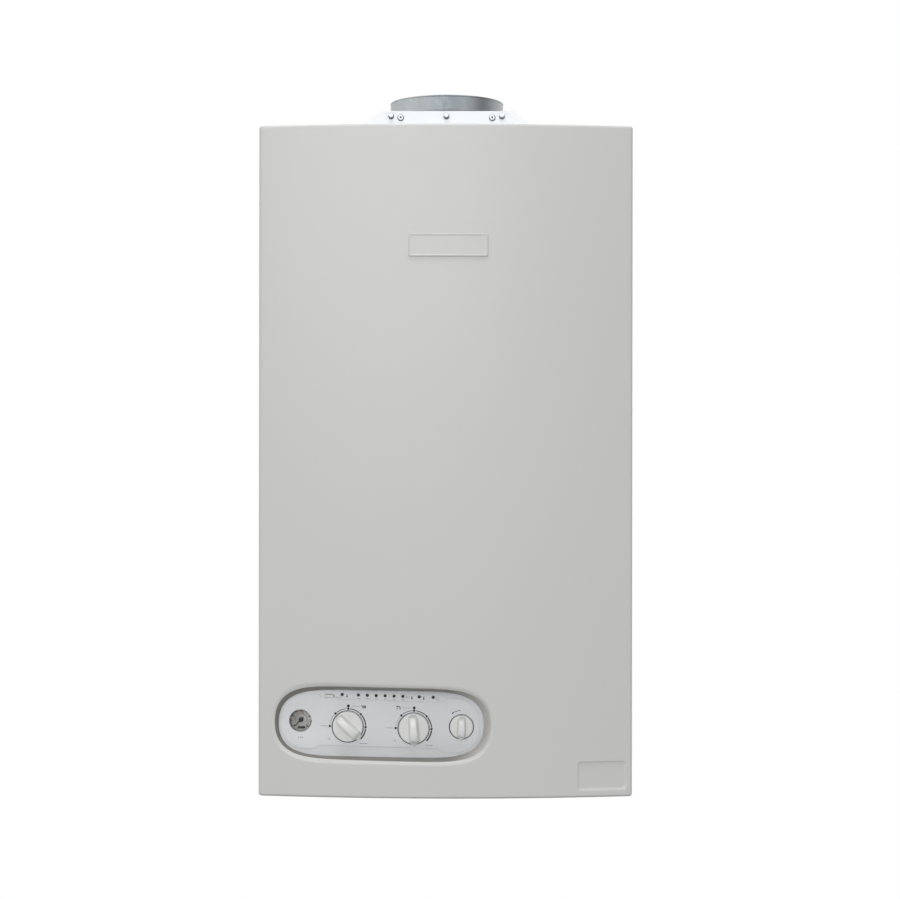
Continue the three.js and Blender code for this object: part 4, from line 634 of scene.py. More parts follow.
def patch_border(rows, levels, outline, patch):
    """The grid corners on a patch's rectangle, counter-clockwise, and the faces to leave out."""
    left, right, low, high = patch
    columns = [i for i, (x, y) in enumerate(outline)
               if y < -DEPTH + EDGE and left - HAIR <= x <= right + HAIR]
    floors = [j for j, (inset, z) in enumerate(levels) if inset == 0 and low - HAIR <= z <= high + HAIR]
    bottom = [rows[floors[0]][i] for i in columns]
    east = [rows[j][columns[-1]] for j in floors[1:]]
    top = [rows[floors[-1]][i] for i in reversed(columns[:-1])]
    west = [rows[j][columns[0]] for j in reversed(floors[1:-1])]
    inside = {(j, i) for j in floors[:-1] for i in columns[:-1]}
    return bottom + east + top + west, inside


ROLL_STEPS, LIP_STEPS, FLAT_STEPS, SHADE_STRIP_STEPS = 10, 6, 6, 240
# Share of the way in and height over the lip, round the grey strip of painted shade
SHADE_STRIP_PROFILE = ((0.44, -0.1), (0.44, 0.3), (0.48, 0.45), (0.96, 0.45), (1.0, 0.35), (1.0, -0.1))


def lip_size(share):
    """The rim's centre and half sizes at a share of the way in."""
    if share < ROLL_SHARE:
        sizes, part = (OPENING, STRIP_RIM), share / ROLL_SHARE
    else:
        sizes, part = (STRIP_RIM, LIP), (share - ROLL_SHARE) / (1 - ROLL_SHARE)
    return [a + (b - a) * part for a, b in zip(*sizes)]


def lip_profile():
    """Pairs of the share of the way in and of the fall: a rolled edge, and then a wall with some draft."""
    roll = arc(0.0, 1.0, 1.0, -90, ROLL_END, ROLL_STEPS)
    rolled = [(ROLL_SHARE * u, ROLL_FALL * v) for u, v in roll[1:]]
    share, fall = rolled[-1]
    wall = zip(spread(share, 1.0, LIP_STEPS), spread(fall, 1.0, LIP_STEPS))
    return rolled + list(wall)[1:]


def lip_ring(size, directions, fall):
    """A ring of points on the rolled lip, whose fall is a share of the way back to its end."""
    points = []
    for direction in directions:
        surface = front_at(rim_point(OPENING, direction)[0])
        across, height = rim_point(size, direction)
        points.append((across, -(surface + (LIP_END - surface) * fall), height))
    return points


def opening_rings(shape, border):
    """The flat ring round the panel opening and its rolled lip."""
    corners = [shape.corners[i] for i in border]
    directions = [(x - OPENING[0], z - OPENING[1]) for x, y, z in corners]
    edge = [rim_point(OPENING, direction) for direction in directions]
    row = border
    for share in spread(0.0, 1.0, FLAT_STEPS)[1:]:
        flat = [(x + (u - x) * share, z + (v - z) * share) for (x, y, z), (u, v) in zip(corners, edge)]
        row = shape.onward(row, [(x, -front_at(x), z) for x, z in flat])
    for share, fall in lip_profile():
        row = shape.onward(row, lip_ring(lip_size(share), directions, fall))


def opening_shade_strip():
    """A grey strip of painted shade that lines the lip of the panel opening, where the lip's wall lies in
    shade.
    """
    shape = Shape()
    directions = [(OPENING[2] * u, OPENING[3] * v) for u, v in circle(0.0, 0.0, 1.0, SHADE_STRIP_STEPS)]
    rolled_share, rolled_fall = lip_profile()[ROLL_STEPS - 1]
    rows = []
    for share, lift in SHADE_STRIP_PROFILE:
        fall = rolled_fall + (1 - rolled_fall) * (share - rolled_share) / (1 - rolled_share)
        centre_x, centre_z, half_x, half_z = lip_size(share)
        size = (centre_x, centre_z, half_x - lift, half_z - lift)
        rows.append(shape.ring(lip_ring(size, directions, fall)))
    shape.strips(rows + rows[:1])
    piece("opening_shade_strip", shape, "painted_shade_grey", "front_cover")


# Inset and depth over the rounded step of the recess
RECESS_PROFILE = ((-1.2, 0.0), (-0.8, 0.06), (-0.3, 0.24), (0.2, 0.6), (0.7, 0.98), (1.2, 1.32), (1.8, 1.5))
RECESS_FLOOR = (0.8, 0.55, 0.3, 0.1)  # shares of the floor's outline, towards its middle
FAR = 1e9


def recess_rim(direction, inset):
    """Where a ray from the middle of the recess meets its rounded outline, drawn in by a distance."""
    left, right, low, high = RECESS
    u, v = direction
    half_x, half_z = (right - left) / 2 - inset, (high - low) / 2 - inset
    reach = min(half_x / abs(u) if u else FAR, half_z / abs(v) if v else FAR)
    x, z = u * reach, v * reach
    straight_x, straight_z = half_x - RECESS_CORNER, half_z - RECESS_CORNER
    over_x, over_z = abs(x) - straight_x, abs(z) - straight_z
    if over_x > 0 and over_z > 0:
        scale = RECESS_CORNER / math.hypot(over_x, over_z)
        x = math.copysign(straight_x + over_x * scale, x)
        z = math.copysign(straight_z + over_z * scale, z)
    return ((left + right) / 2 + x, (low + high) / 2 + z)


def recess_rings(shape, border):
    """The pressed recess at the lower right: a soft step down to a flat floor."""
    left, right, low, high = RECESS
    middle_x, middle_z = (left + right) / 2, (low + high) / 2
    directions = [(shape.corners[i][0] - middle_x, shape.corners[i][2] - middle_z) for i in border]

    def sunk(points, depth):
        return [(x, -front_at(x) + depth, z + RECESS_LEAN * depth) for x, z in points]

    row = border
    for inset, depth in RECESS_PROFILE:
        rim = [recess_rim(direction, inset) for direction in directions]
        row = shape.onward(row, sunk(rim, depth))
    for share in RECESS_FLOOR:
        floor = [(middle_x + (x - middle_x) * share, middle_z + (z - middle_z) * share) for x, z in rim]
        row = shape.onward(row, sunk(floor, RECESS_DEPTH))
    shape.fan(row, (middle_x, -front_at(middle_x) + RECESS_DEPTH, middle_z))


def front_cover():
    shape = Shape()
    levels = cover_levels()
    outlines = [casing_outline(inset) for inset, z in levels]
    rows = [shape.ring([(x, y, z) for x, y in outline]) for (inset, z), outline in zip(levels, outlines)]
    wall = next(j for j, (inset, z) in enumerate(levels) if inset == 0)
    borders, left_out = [], set()
    for patch in (OPENING_PATCH, RECESS_PATCH):
        border, inside = patch_border(rows, levels, outlines[wall], patch)
        borders.append(border)
        left_out |= inside
    for j, (lower, upper) in enumerate(zip(rows, rows[1:])):
        for i in range(len(lower) - 1):
            if (j, i) not in left_out:
                shape.faces.append((lower[i], lower[i + 1], upper[i + 1], upper[i]))
    opening_rings(shape, borders[0])
    recess_rings(shape, borders[1])
    made = piece(
        "front_cover_shell", shape, "casing_paint", "front_cover", "front_cover", sharp=60, closed=False,
    )
    made.modifiers.remove(made.modifiers["even_shading"])
    skin = made.modifiers.new("sheet", "SOLIDIFY")
    skin.thickness = SHEET * MM
    skin.offset = -1.0
    weigh_normals(made)


# Badge plate


# Inset and rise over the raised rim
BADGE_PROFILE = (
    (0.0, 0.3), (0.0, 1.1), (0.12, 1.42), (0.45, BADGE_THICK), (1.5, BADGE_THICK),
    (1.7, 1.52), (1.9, 1.25), (2.1, 1.17), (3.2, 1.15),
)
BADGE_LEAST, BADGE_STEPS = 0.3, 40
CORNER_STEPS = 5  # round each corner of the badge plate and of the button


def name_plate():
    """A blank badge plate that follows the bow, with a raised rim round a flat field."""
    shape = Shape()
    left, right, low, high = BADGE
    rows = []
    for inset, rise in BADGE_PROFILE:
        radius = max(BADGE_CORNER - inset, BADGE_LEAST)
        outline = rounded_box(left + inset, right - inset, low + inset, high - inset, radius, CORNER_STEPS)
        rows.append(shape.ring([(x, -front_at(x) - rise, z) for x, z in divided(outline, BADGE_STEPS)]))
    shape.strips(rows)
    middle = (low + high) / 2
    for row in (rows[0], rows[-1]):
        across = sorted(row, key=lambda corner: shape.corners[corner][0])
        under = [corner for corner in across if shape.corners[corner][2] < middle]
        over = [corner for corner in across if shape.corners[corner][2] >= middle]
        shape.faces.extend(zip(under, under[1:], over[1:], over))
    piece("name_plate_blank", shape, "casing_paint", "front_cover", "name_plate")


def divided(points, steps):
    """An outline whose two long runs are divided into steps."""
    result = []
    for (x0, z0), (x1, z1) in zip(points, points[1:] + points[:1]):
        result.append((x0, z0))
        if abs(x1 - x0) > steps / 2:
            result += [(x, z0) for x in spread(x0, x1, steps)[1:-1]]
    return result


# Flue collar, hood plate and screws


BEAD, BEAD_SWEEP, BEAD_STEPS = 0.9, 67.5, 6
BEAD_MOUTH = 0.3  # how far the bead stands inside the wall
COLLAR_STEPS, RIVET_STEPS = 160, 16
# Distance outside the collar's wall and height, from the foot's edge up to the bead
COLLAR_PROFILE = (
    (FLUE_FOOT, 0.0), (FLUE_FOOT, FLUE_FOOT_HEIGHT), (1.6, FLUE_FOOT_HEIGHT), (0.5, FLUE_FOOT_HEIGHT + 0.5),
    (0.0, FLUE_FOOT_HEIGHT + 1.6), (0.0, 5.6), (0.3, 6.4), (0.4, 7.4), (0.3, 8.4), (0.0, 9.2),
    (0.0, FLUE_HEIGHT - 3 * BEAD),
)
SEAM_TURN = math.radians(-20.0)
RIVETS, RIVET_FIRST, RIVET_PITCH = 3, 4.2, 7.2
RIVET_PROFILE = ((1.2, -0.8), (1.2, 0.15), (0.9, 0.35), (0.0, 0.45))


def flue_collar():
    shape = Shape()
    inner, middle = FLUE_RADIUS - FLUE_WALL, FLUE_RADIUS - FLUE_WALL / 2
    rim = arc(middle, FLUE_HEIGHT - BEAD, BEAD, -BEAD_SWEEP, BEAD_SWEEP, BEAD_STEPS)
    outside = [(FLUE_RADIUS + away, height) for away, height in COLLAR_PROFILE]
    inside = [(inner - BEAD_MOUTH, FLUE_HEIGHT - BEAD), (inner, FLUE_HEIGHT - 2 * BEAD), (inner, 0.0)]
    profile = [(inner, 0.0)] + outside + rim + [(middle, FLUE_HEIGHT)] + inside
    turned(shape, profile, (0.0, -FLUE_Y, HOOD_TOP), "up", COLLAR_STEPS)
    seam_x = FLUE_RADIUS * math.cos(SEAM_TURN)
    seam_y = FLUE_RADIUS * math.sin(SEAM_TURN) - FLUE_Y
    for level in range(RIVETS):
        height = HOOD_TOP + RIVET_FIRST + level * RIVET_PITCH
        turned(shape, RIVET_PROFILE, (seam_x, seam_y, height), "right", RIVET_STEPS)
    piece("flue_collar_spun", shape, "flue_zinc", "frame", "flue_collar")


SCREWS = {  # place across, distance below the hood's top, and whether the head is a hexagon
    "hood_screw_left": (-61.6, 6.0, True), "hood_screw_middle": (0.0, 6.0, True),
    "hood_screw_right": (61.6, 6.0, True),
    "washer_screw_left": (-50.9, 7.5, False), "washer_screw_right": (50.9, 7.5, False),
}
PLATE_SEAT, PLATE_SHEET, PLATE_HEIGHT, PLATE_HOLE, PLATE_ROUNDING = 0.3, 1.2, 53.2, 2.2, 0.35
HOOD_SLOPE, HOOD_HALF_TOP, HOOD_HALF = 66.5, 75.6, 150.0  # height of the sloping sides, and half widths
SHANK = ((0.0, -7.0), (1.2, -6.6), (1.9, -5.2), (1.9, -0.2))
# Radius, distance from the plate, rise and flatness of the rings of the screw heads, which lean up a little
HEX_RINGS = (
    (1.6, 0.5, -1.1, 1.0), (2.1, 1.6, -0.7, 1.0), (3.1, 3.4, 0.1, 0.95), (3.1, 4.0, 0.2, 0.9),
    (2.8, 4.2, 0.3, 0.85),
)
HEX_FACE_RINGS = ((2.5, 3.9, 0.8, 0.72), (2.5, 4.3, 0.8, 0.72), (2.3, 4.4, 0.8, 0.7))
WASHER_RINGS = ((3.6, 0.1, 0.0, 1.0), (3.6, 0.7, 0.0, 1.0), (3.3, 1.0, 0.15, 1.0), (3.0, 1.1, 0.2, 1.0))
# Radius and distance from the plate
HEX_FLANGE = ((3.2, 0.0), (3.2, 0.4), (3.0, 0.6), (0.0, 0.6))
WASHER_FLANGE = ((3.5, 0.0), (3.5, 0.2), (0.0, 0.2))
WASHER_DOME = ((0.0, 1.0), (1.0, 1.0), (1.0, 1.5), (0.8, 1.8), (0.4, 1.9), (0.0, 1.8))
WASHER_FACE = (
    (0.0, 0.9), (2.8, 0.9), (2.8, 1.2), (2.6, 1.35), (1.5, 1.4), (1.3, 1.3), (1.2, 1.05), (0.0, 1.05),
)
WASHER_FACE_RISE = 0.4
HEX_CORNERS, HEX_TURN, ROUND_STEPS, DOME_STEPS, HOLE_STEPS = 6, 30, 48, 32, 32


def hood_plate():
    shape = Shape()
    bottom = HOOD_TOP - PLATE_HEIGHT
    half_bottom = HOOD_HALF_TOP + (HOOD_HALF - HOOD_HALF_TOP) * PLATE_HEIGHT / HOOD_SLOPE
    outline = [
        (-half_bottom, bottom), (half_bottom, bottom), (HOOD_HALF_TOP, HOOD_TOP), (-HOOD_HALF_TOP, HOOD_TOP),
    ]
    holes = [circle(x, HOOD_TOP - drop, PLATE_HOLE, HOLE_STEPS) for x, drop, hexagonal in SCREWS.values()]
    back = HOOD_FRONT + PLATE_SEAT
    pressed_sheet(shape, outline, holes, back, back + PLATE_SHEET, PLATE_ROUNDING)
    piece("hood_front_plate_painted", shape, "hood_paint", "frame", "hood_front_plate", sharp=35)


def hood_screw(name, x, drop, hexagonal):
    """A plated screw in two copies of one zinc: a body darkened with painted shade and a face brightened with
    painted highlight.
    """
    shape, front = Shape(), Shape()
    z = HOOD_TOP - drop
    face = HOOD_FRONT + PLATE_SEAT + PLATE_SHEET

    def head(target, rows, corners):
        rings = []
        for radius, distance, rise, flatness in rows:
            points = arc(0.0, 0.0, radius, HEX_TURN, HEX_TURN + 360 - 360 / corners, corners - 1)
            rings.append([(x + u, -face - distance, z + rise + v * flatness) for u, v in points])
        target.stack(rings)

    flange = HEX_FLANGE if hexagonal else WASHER_FLANGE
    turned(shape, SHANK + flange, (x, -face, z), "forward", ROUND_STEPS)
    if hexagonal:
        head(shape, HEX_RINGS, HEX_CORNERS)
        head(front, HEX_FACE_RINGS, HEX_CORNERS)
    else:
        head(shape, WASHER_RINGS, ROUND_STEPS)
        middle = (x, -face, z + WASHER_FACE_RISE)
        turned(shape, WASHER_DOME, middle, "forward", DOME_STEPS)
        turned(front, WASHER_FACE, middle, "forward", ROUND_STEPS)
    piece(name + "_turned", shape, "zinc_painted_shade", "frame", name, sharp=40)
    piece(name + "_face", front, "zinc_painted_highlight", "frame", sharp=40)


# Control panel


BIG = {
    "radius": 16.2, "well": 17.2, "grip": 4.8, "taper": 4.0, "height": 15.0, "beak": 4.8, "beak_length": 1.9,
}
SMALL = {
    "radius": 12.4, "well": 13.4, "grip": 4.1, "taper": 3.4, "height": 12.0, "beak": 4.0, "beak_length": 1.5,
}
KNOBS = {  # place on the panel, turn at rest in degrees, and form
    "heating_knob": (-35.2, -4.4, 48.0, BIG),
    "water_knob": (35.4, -4.4, 5.0, BIG),
    "mode_knob": (86.6, -1.0, 0.0, SMALL),
}
RAISED = PANEL_FRONT + PANEL_STEP  # front of the raised middle of the panel
WELL_DEPTH = 1.4
KNOB_STEPS, WELL_STEPS, STEM_STEPS, GAUGE_STEPS, LAMP_STEPS, PIN_STEPS = 128, 96, 32, 96, 24, 32
PANEL_CORNER_STEPS, LOBE_STEPS, BAR_CORNER_STEPS = 12, 24, 4
WELL_FLOOR = RAISED - WELL_DEPTH
BACK_EDGE, PLATE_EDGE, RAISED_EDGE, RAISED_SINK = 0.1, 0.35, 0.4, 0.2
KNOB_BASE, KNOB_FACE = WELL_FLOOR + 0.5, RAISED + 2.2
# Inset, and rise over the face
KNOB_EDGE = ((0.0, -1.0), (0.12, -0.6), (0.45, -0.2), (1.0, 0.0), (2.2, 0.15))
KNOB_MIDDLE, KNOB_MIDDLE_RISE, KNOB_CROWN = 0.6, 0.35, 0.45
KNOB_STEM = 3.0
STEM_PROFILE = ((KNOB_STEM, KNOB_BASE + 0.3), (KNOB_STEM, 298.0), (KNOB_STEM - 0.4, 297.3), (0.0, 297.3))
BEAK_GAP = 0.3  # between the panel and a knob's beak
BEAK_RIM = ((0.0, -0.9), (0.12, -0.5), (0.4, -0.2), (0.9, -0.05))  # inset, and rise over the face
BEAK_START = 0.5  # share of the knob's radius
# Gap, inner radius, shift and rounding of the dark ring of painted shade round each knob.
SHADE_RING_GAP, SHADE_RING_INNER, SHADE_RING_SHIFT, SHADE_RING_EDGE = 0.06, 0.34, (0.12, 0.24), 0.04
GAUGE = (-86.2, 0.3)
GAUGE_WINDOW, STEM_HOLE = 12.0, 3.3
LAMP_PITCH, LAMP_FIRST, LAMP_Z, LAMP_HOLE, LAMP_PIN = 9.55, -24.8, 29.7, 1.7, 1.58
LAMP_SHARES = (-1.83, 0.0, 1.0, 2.0, 3.0, 4.0, 5.0, 6.83, 8.4)
LAMP_PLACES = [LAMP_FIRST + share * LAMP_PITCH for share in LAMP_SHARES]
LAMP_FOOT, LAMP_RISE, LAMP_END = PANEL_FRONT - 0.15, 0.3, PANEL_BACK - 1.0
LAMP_DOME = (0, 75, 5)  # degrees at the edge and near the top, and steps between them
BEHIND_PANEL = PANEL_BACK - 0.3
BAR_HALF, BAR_THICK, BAR_CORNER, BAR_EDGE = 2.0, 3.0, 1.0, 0.3
BUTTON = (-56.1, 27.8, 8.4, 3.0)
BUTTON_FRONT, BUTTON_BACK, BUTTON_GAP = PANEL_FRONT + 1.8, PANEL_FRONT - 12.0, 0.3
FLANGE_WIDE, FLANGE_THICK, FLANGE_EDGE = 1.2, 1.2, 0.2
BUTTON_RIM = ((0.0, -0.5), (0.12, -0.2), (0.4, 0.0), (0.9, -0.12))  # inset, and rise over the front


def button_outline(grow):
    x, z, width, height = BUTTON
    half_x, half_z = width / 2 + grow, height / 2 + grow
    return rounded_box(x - half_x, x + half_x, z - half_z, z + half_z, half_z / 2, CORNER_STEPS)


LOBES, LOBE_RADIUS, LOBE_RISE = (-80.6, 80.2), 26.0, 3.4
# Half height of the waist, and the places of both soft steps: lobe, waist, waist and lobe
WAIST_BELOW = (25.2, -72, -63, 60, 70)
WAIST_ABOVE = (24.6, -69, -61, 64, 72)


def moulding_outline():
    """The raised middle of the panel: round lobes at both ends, drawn in above and below."""
    left, right = LOBES
    lobe = LOBE_RADIUS + LOBE_RISE
    low, low_from, low_left, low_right, low_to = WAIST_BELOW
    high, high_from, high_left, high_right, high_to = WAIST_ABOVE
    return (
        arc(left, LOBE_RISE, LOBE_RADIUS, 90, 180, LOBE_STEPS)
        + arc(left, -LOBE_RISE, LOBE_RADIUS, 180, 270, LOBE_STEPS)
        + soft_step(low_from, -lobe, low_left, -low)
        + soft_step(low_right, -low, low_to, -lobe)
        + arc(right, -LOBE_RISE, LOBE_RADIUS, -90, 0, LOBE_STEPS)
        + arc(right, LOBE_RISE, LOBE_RADIUS, 0, 90, LOBE_STEPS)
        + soft_step(high_to, lobe, high_right, high)
        + soft_step(high_left, high, high_from, lobe)
    )


def soft_step(x0, z0, x1, z1, steps=8):
    return [(x0 + (x1 - x0) * share, z0 + (z1 - z0) * (3 * share ** 2 - 2 * share ** 3))
            for share in spread(0.0, 1.0, steps)]


def control_fascia():
    shape = Shape()
    half_x, half_z = PANEL_HALF
    box = rounded_box(-half_x, half_x, -half_z, half_z, PANEL_CORNER, PANEL_CORNER_STEPS)
    plate = [(x + PANEL_X, z + PANEL_Z) for x, z in box]
    holes = [on_panel_all(circle(x, LAMP_Z, LAMP_HOLE, LAMP_STEPS)) for x in LAMP_PLACES]
    gauge_hole = on_panel_all(circle(*GAUGE, GAUGE_WINDOW, GAUGE_STEPS))
    holes += [on_panel_all(button_outline(BUTTON_GAP)), gauge_hole]
    wells, stems = [], []
    for x, z, rest, form in KNOBS.values():
        wells.append(on_panel_all(circle(x, z, form["well"], WELL_STEPS)))
        stems.append(on_panel_all(circle(x, z, STEM_HOLE, STEM_STEPS)))
    pressed_sheet(shape, plate, stems + holes, PANEL_BACK, WELL_FLOOR, BACK_EDGE, 1)
    pressed_sheet(shape, plate, wells + holes, WELL_FLOOR, PANEL_FRONT, PLATE_EDGE)
    moulding = on_panel_all(moulding_outline())
    pressed_sheet(shape, moulding, wells + [gauge_hole], PANEL_FRONT - RAISED_SINK, RAISED, RAISED_EDGE)
    piece("control_fascia_moulded", shape, "white_plastic", "control_panel", "control_fascia", sharp=60)


def knob(name):
    x, z, rest, form = KNOBS[name]
    centre_x, centre_z = on_panel(x, z)
    centre = (centre_x, 0.0, centre_z)
    place = turned_place((centre_x, centre_z), math.radians(rest) - PANEL_TURN)
    radius, half, length = form["radius"], form["beak"], form["beak_length"]
    shape = Shape()
    edge = [(radius - inset, KNOB_FACE + rise) for inset, rise in KNOB_EDGE]
    middle = [(radius * KNOB_MIDDLE, KNOB_FACE + KNOB_MIDDLE_RISE), (0.0, KNOB_FACE + KNOB_CROWN)]
    turned(shape, [(0.0, KNOB_BASE), (radius, KNOB_BASE)] + edge + middle, centre, "forward", KNOB_STEPS)
    turned(shape, STEM_PROFILE, centre, "forward", STEM_STEPS)

    side = math.sqrt(radius ** 2 - half ** 2)
    tip = radius + length
    flank = (  # share of the beak's half width, and distance from the knob's middle
        (1.0, side - 0.5), (0.66, side + length * 0.6), (0.36, tip - 0.5), (0.22, tip - 0.14), (0.1, tip),
    )
    beak = counter_clockwise(
        [(-half * share, -out) for share, out in flank]
        + [(half * share, -out) for share, out in reversed(flank)]
        + [(0.0, -radius * BEAK_START)]
    )
    levels = [(0.0, RAISED + BEAK_GAP)] + [(inset, KNOB_FACE + rise) for inset, rise in BEAK_RIM]
    shape.stack([[place(u, v, depth) for u, v in drawn_in(beak, inset)] for inset, depth in levels])

    grip_bar(shape, form, place)
    piece(name + "_moulded", shape, "knob_plastic", name, name)


def knob_shade_ring(name):
    """A dark ring of painted shade in the gap round a knob, wider at the lower left where the knob's shadow
    falls.
    """
    x, z, rest, form = KNOBS[name]
    shape = Shape()
    outer = on_panel_all(circle(x, z, form["well"] - SHADE_RING_GAP, WELL_STEPS))
    radius = form["radius"] + SHADE_RING_INNER
    inner = on_panel_all(circle(x + SHADE_RING_SHIFT[0], z + SHADE_RING_SHIFT[1], radius, WELL_STEPS))
    pressed_sheet(shape, outer, [inner], WELL_FLOOR, PANEL_FRONT, SHADE_RING_EDGE, 2)
    piece(name + "_shade_ring", shape, "black_plastic", "control_panel")


GRIP_STEPS, GRIP_ACROSS = 40, 28
GRIP_END = 0.72  # share of the half length where the rounding of the ends starts
GRIP_LEAST = 0.25  # share of the width and the height that is left at the ends
GRIP_FALL, GRIP_FALL_POWER = 0.42, 2.5
GRIP_END_POWER, GRIP_SIDE_POWER, GRIP_TOP_POWER = 2.2, 0.42, 0.32
GRIP_FOOT, GRIP_FOOT_REACH, GRIP_SINK = 0.3, 1.4, 0.4


def grip_bar(shape, form, place):
    """The raised bar across a knob: upright sides with a soft foot and a crown that falls at both ends."""
    height = KNOB_BASE + form["height"] - KNOB_FACE
    rows = []
    for share in spread(-1.0, 1.0, GRIP_STEPS):
        half = form["taper"] + (form["grip"] - form["taper"]) * (share + 1) / 2
        edge = abs(share)
        round_end = math.sqrt(max(0.0, 1 - max(0.0, (edge - GRIP_END) / (1 - GRIP_END)) ** GRIP_END_POWER))
        left = GRIP_LEAST + (1 - GRIP_LEAST) * round_end
        crown = height * (1 - GRIP_FALL * edge ** GRIP_FALL_POWER) * left
        row = []
        for angle in spread(0.0, math.pi, GRIP_ACROSS):
            u = -math.copysign(abs(math.cos(angle)) ** GRIP_SIDE_POWER, math.cos(angle)) * half * left
            rise = math.sin(angle) ** GRIP_TOP_POWER * crown
            foot = 1.0 + GRIP_FOOT * math.exp(-rise / GRIP_FOOT_REACH)
            row.append(place(u * foot, -share * (form["radius"] - 1.0), KNOB_FACE - GRIP_SINK + rise))
        rows.append(row)
    shape.stack(rows)


def reset_button():
    shape = Shape()
    outline = counter_clockwise(on_panel_all(button_outline(0.0)))
    levels = [(0.0, BUTTON_BACK)] + [(inset, BUTTON_FRONT + rise) for inset, rise in BUTTON_RIM]
    shape.stack([[(u, -depth, v) for u, v in drawn_in(outline, inset)] for inset, depth in levels])
    flange = on_panel_all(button_outline(FLANGE_WIDE))
    pressed_sheet(shape, flange, [], BEHIND_PANEL - FLANGE_THICK, BEHIND_PANEL, FLANGE_EDGE)
    piece("reset_button_moulded", shape, "knob_plastic", "reset_button", "reset_button")


def status_lights():
    shape = Shape()
    left, right = LAMP_PLACES[0] - BAR_HALF, LAMP_PLACES[-1] + BAR_HALF
    low, high = LAMP_Z - BAR_HALF, LAMP_Z + BAR_HALF
    bar = on_panel_all(rounded_box(left, right, low, high, BAR_CORNER, BAR_CORNER_STEPS))
    pressed_sheet(shape, bar, [], BEHIND_PANEL - BAR_THICK, BEHIND_PANEL, BAR_EDGE)
    dome = [(LAMP_PIN * u, LAMP_FOOT + LAMP_RISE * v) for u, v in arc(0.0, 0.0, 1.0, *LAMP_DOME)]
    profile = [(LAMP_PIN, LAMP_END)] + dome + [(0.0, LAMP_FOOT + LAMP_RISE)]
    for x in LAMP_PLACES:
        u, v = on_panel(x, LAMP_Z)
        turned(shape, profile, (u, 0.0, v), "forward", PIN_STEPS)
    piece("status_lights_domed", shape, "smoked_plastic", "control_panel", "status_lights")


# Printed marks on the panel


PRINT_THICK = 0.06
DIAL_RADIUS, DIAL_DOT = 19.2, 1.3
DIAL_DOTS = (180, 135, 90, 45, 0)
DIAL_DOT_STEPS = 20
DIAL_ARCS = ((0.6, 130, 96), (0.9, 84, 50), (1.25, 40, 5), (1.45, -5, -42))  # width, start and end
PALE_ARC = (0.45, 175, 140)
INDICATOR = (("dot", 0.0, 22.2, 1.6, 28),)
LEADER = (3.4, 22.0, 12.2, 21.9, 0.35)  # both ends and width
DASH_ROUNDING = 0.3  # share of a dash's height
LAMP_DASH, FIRST_LAMP_DASH = (0.7, 0.3), (0.7, 0.4)  # height and gap
MIDDLE_LAMPS = slice(1, 7)
# Place beside what it belongs to, and lengths of the dashes of a caption
KNOB_CAPTIONS = ((-25.4, 0.0, (1.4, 0.9, 1.8, 1.4)), (17.5, -17.6, (0.8, 1.6, 1.2, 1.8, 0.8)))
GAUGE_CAPTION = (0.8, -17.6, (1.5, 1.3, 1.6))
LAMP_CAPTION = (0.4, -3.6, (0.8, 0.9, 0.7))
FIRST_LAMP_CAPTION = (-5.0, -3.0, (1.2, 1.0, 1.4, 1.0, 1.2))

# Strokes, whose sizes are measured from one place
RADIATOR = (
    ("line", -3.2, 1.4, -1.8, 1.4, 0.5), ("line", -1.9, 1.6, -1.9, 0.2, 0.5),
    *(("box", left, left + 0.85, -1.6, 1.5, 0.25, 3) for left in (-1.2, 0.15, 1.5)),
    ("line", -1.2, -0.9, 2.4, -0.9, 0.35), ("line", -1.2, 0.8, 2.4, 0.8, 0.35),
)
TAP = (
    ("line", -2.4, 1.4, 0.4, 1.4, 0.8), ("band", 0.4, -0.1, 1.5, 0.9, 90, 10),
    ("line", 1.9, 0.2, 2.0, -1.6, 0.8), ("line", -1.0, 2.2, 0.6, 2.2, 0.4), ("dot", -1.2, -0.9, 0.55, 16),
)
OFF = (("band", 0.0, 0.0, 1.15, 0.35, 125, 415), ("line", 0.0, 0.2, 0.0, 1.6, 0.35))
THERMOMETER = (("box", -0.4, 0.4, -2.8, 0.6, 0.35, 4), ("dot", 0.0, -2.2, 0.75, 18))
RAYS = tuple(("line", lean, 0.4, lean - 0.8, -2.2, 0.4) for lean in (-1.2, 0.2, 1.6))
ARC_LEAST, ARC_STEP = 4, 4  # fewest steps of a printed arc, and degrees of each
MODE_ARC = ((-11.0, 13.2), (-8.8, 14.2), (-9.6, 15.9)), (17.6, 0.55, 94, 122)  # its arrow head and its band
CLOCK = (("band", 5.0, -1.8, 1.5, 0.3, 0, 358),)
RESET = (("line", 5.4, 1.4, 5.4, -0.8, 0.5),)
THERMOMETERS = ((0, 5.2), (6, 9.6), (7, 4.9))  # number of a lamp and distance beside it
RAYS_PLACES = ((6, 5.2),)
SIGNS = (RADIATOR, TAP, OFF, OFF)
SIGN_PLACES = ((16.4, 21.6), (-17.0, 21.6), (-19.5, -13.6), (-19.7, -13.6))


def printed(shape, outline, back=RAISED):
    points = counter_clockwise(on_panel_all(outline))
    rows = [shape.ring([(x, -depth, z) for x, z in points]) for depth in (back, back + PRINT_THICK)]
    shape.strip(*rows)
    for row in rows:
        fill_flat(shape, [row])


def band(x, z, radius, width, start, end):
    steps = max(ARC_LEAST, round(abs(end - start) / ARC_STEP))
    return arc(x, z, radius + width / 2, start, end, steps) + arc(x, z, radius - width / 2, end, start, steps)


def line(x0, z0, x1, z1, width):
    along = Vector((x1 - x0, z1 - z0)).normalized() * width / 2
    u, v = -along.y, along.x
    return [(x0 + u, z0 + v), (x0 - u, z0 - v), (x1 - u, z1 - v), (x1 + u, z1 + v)]


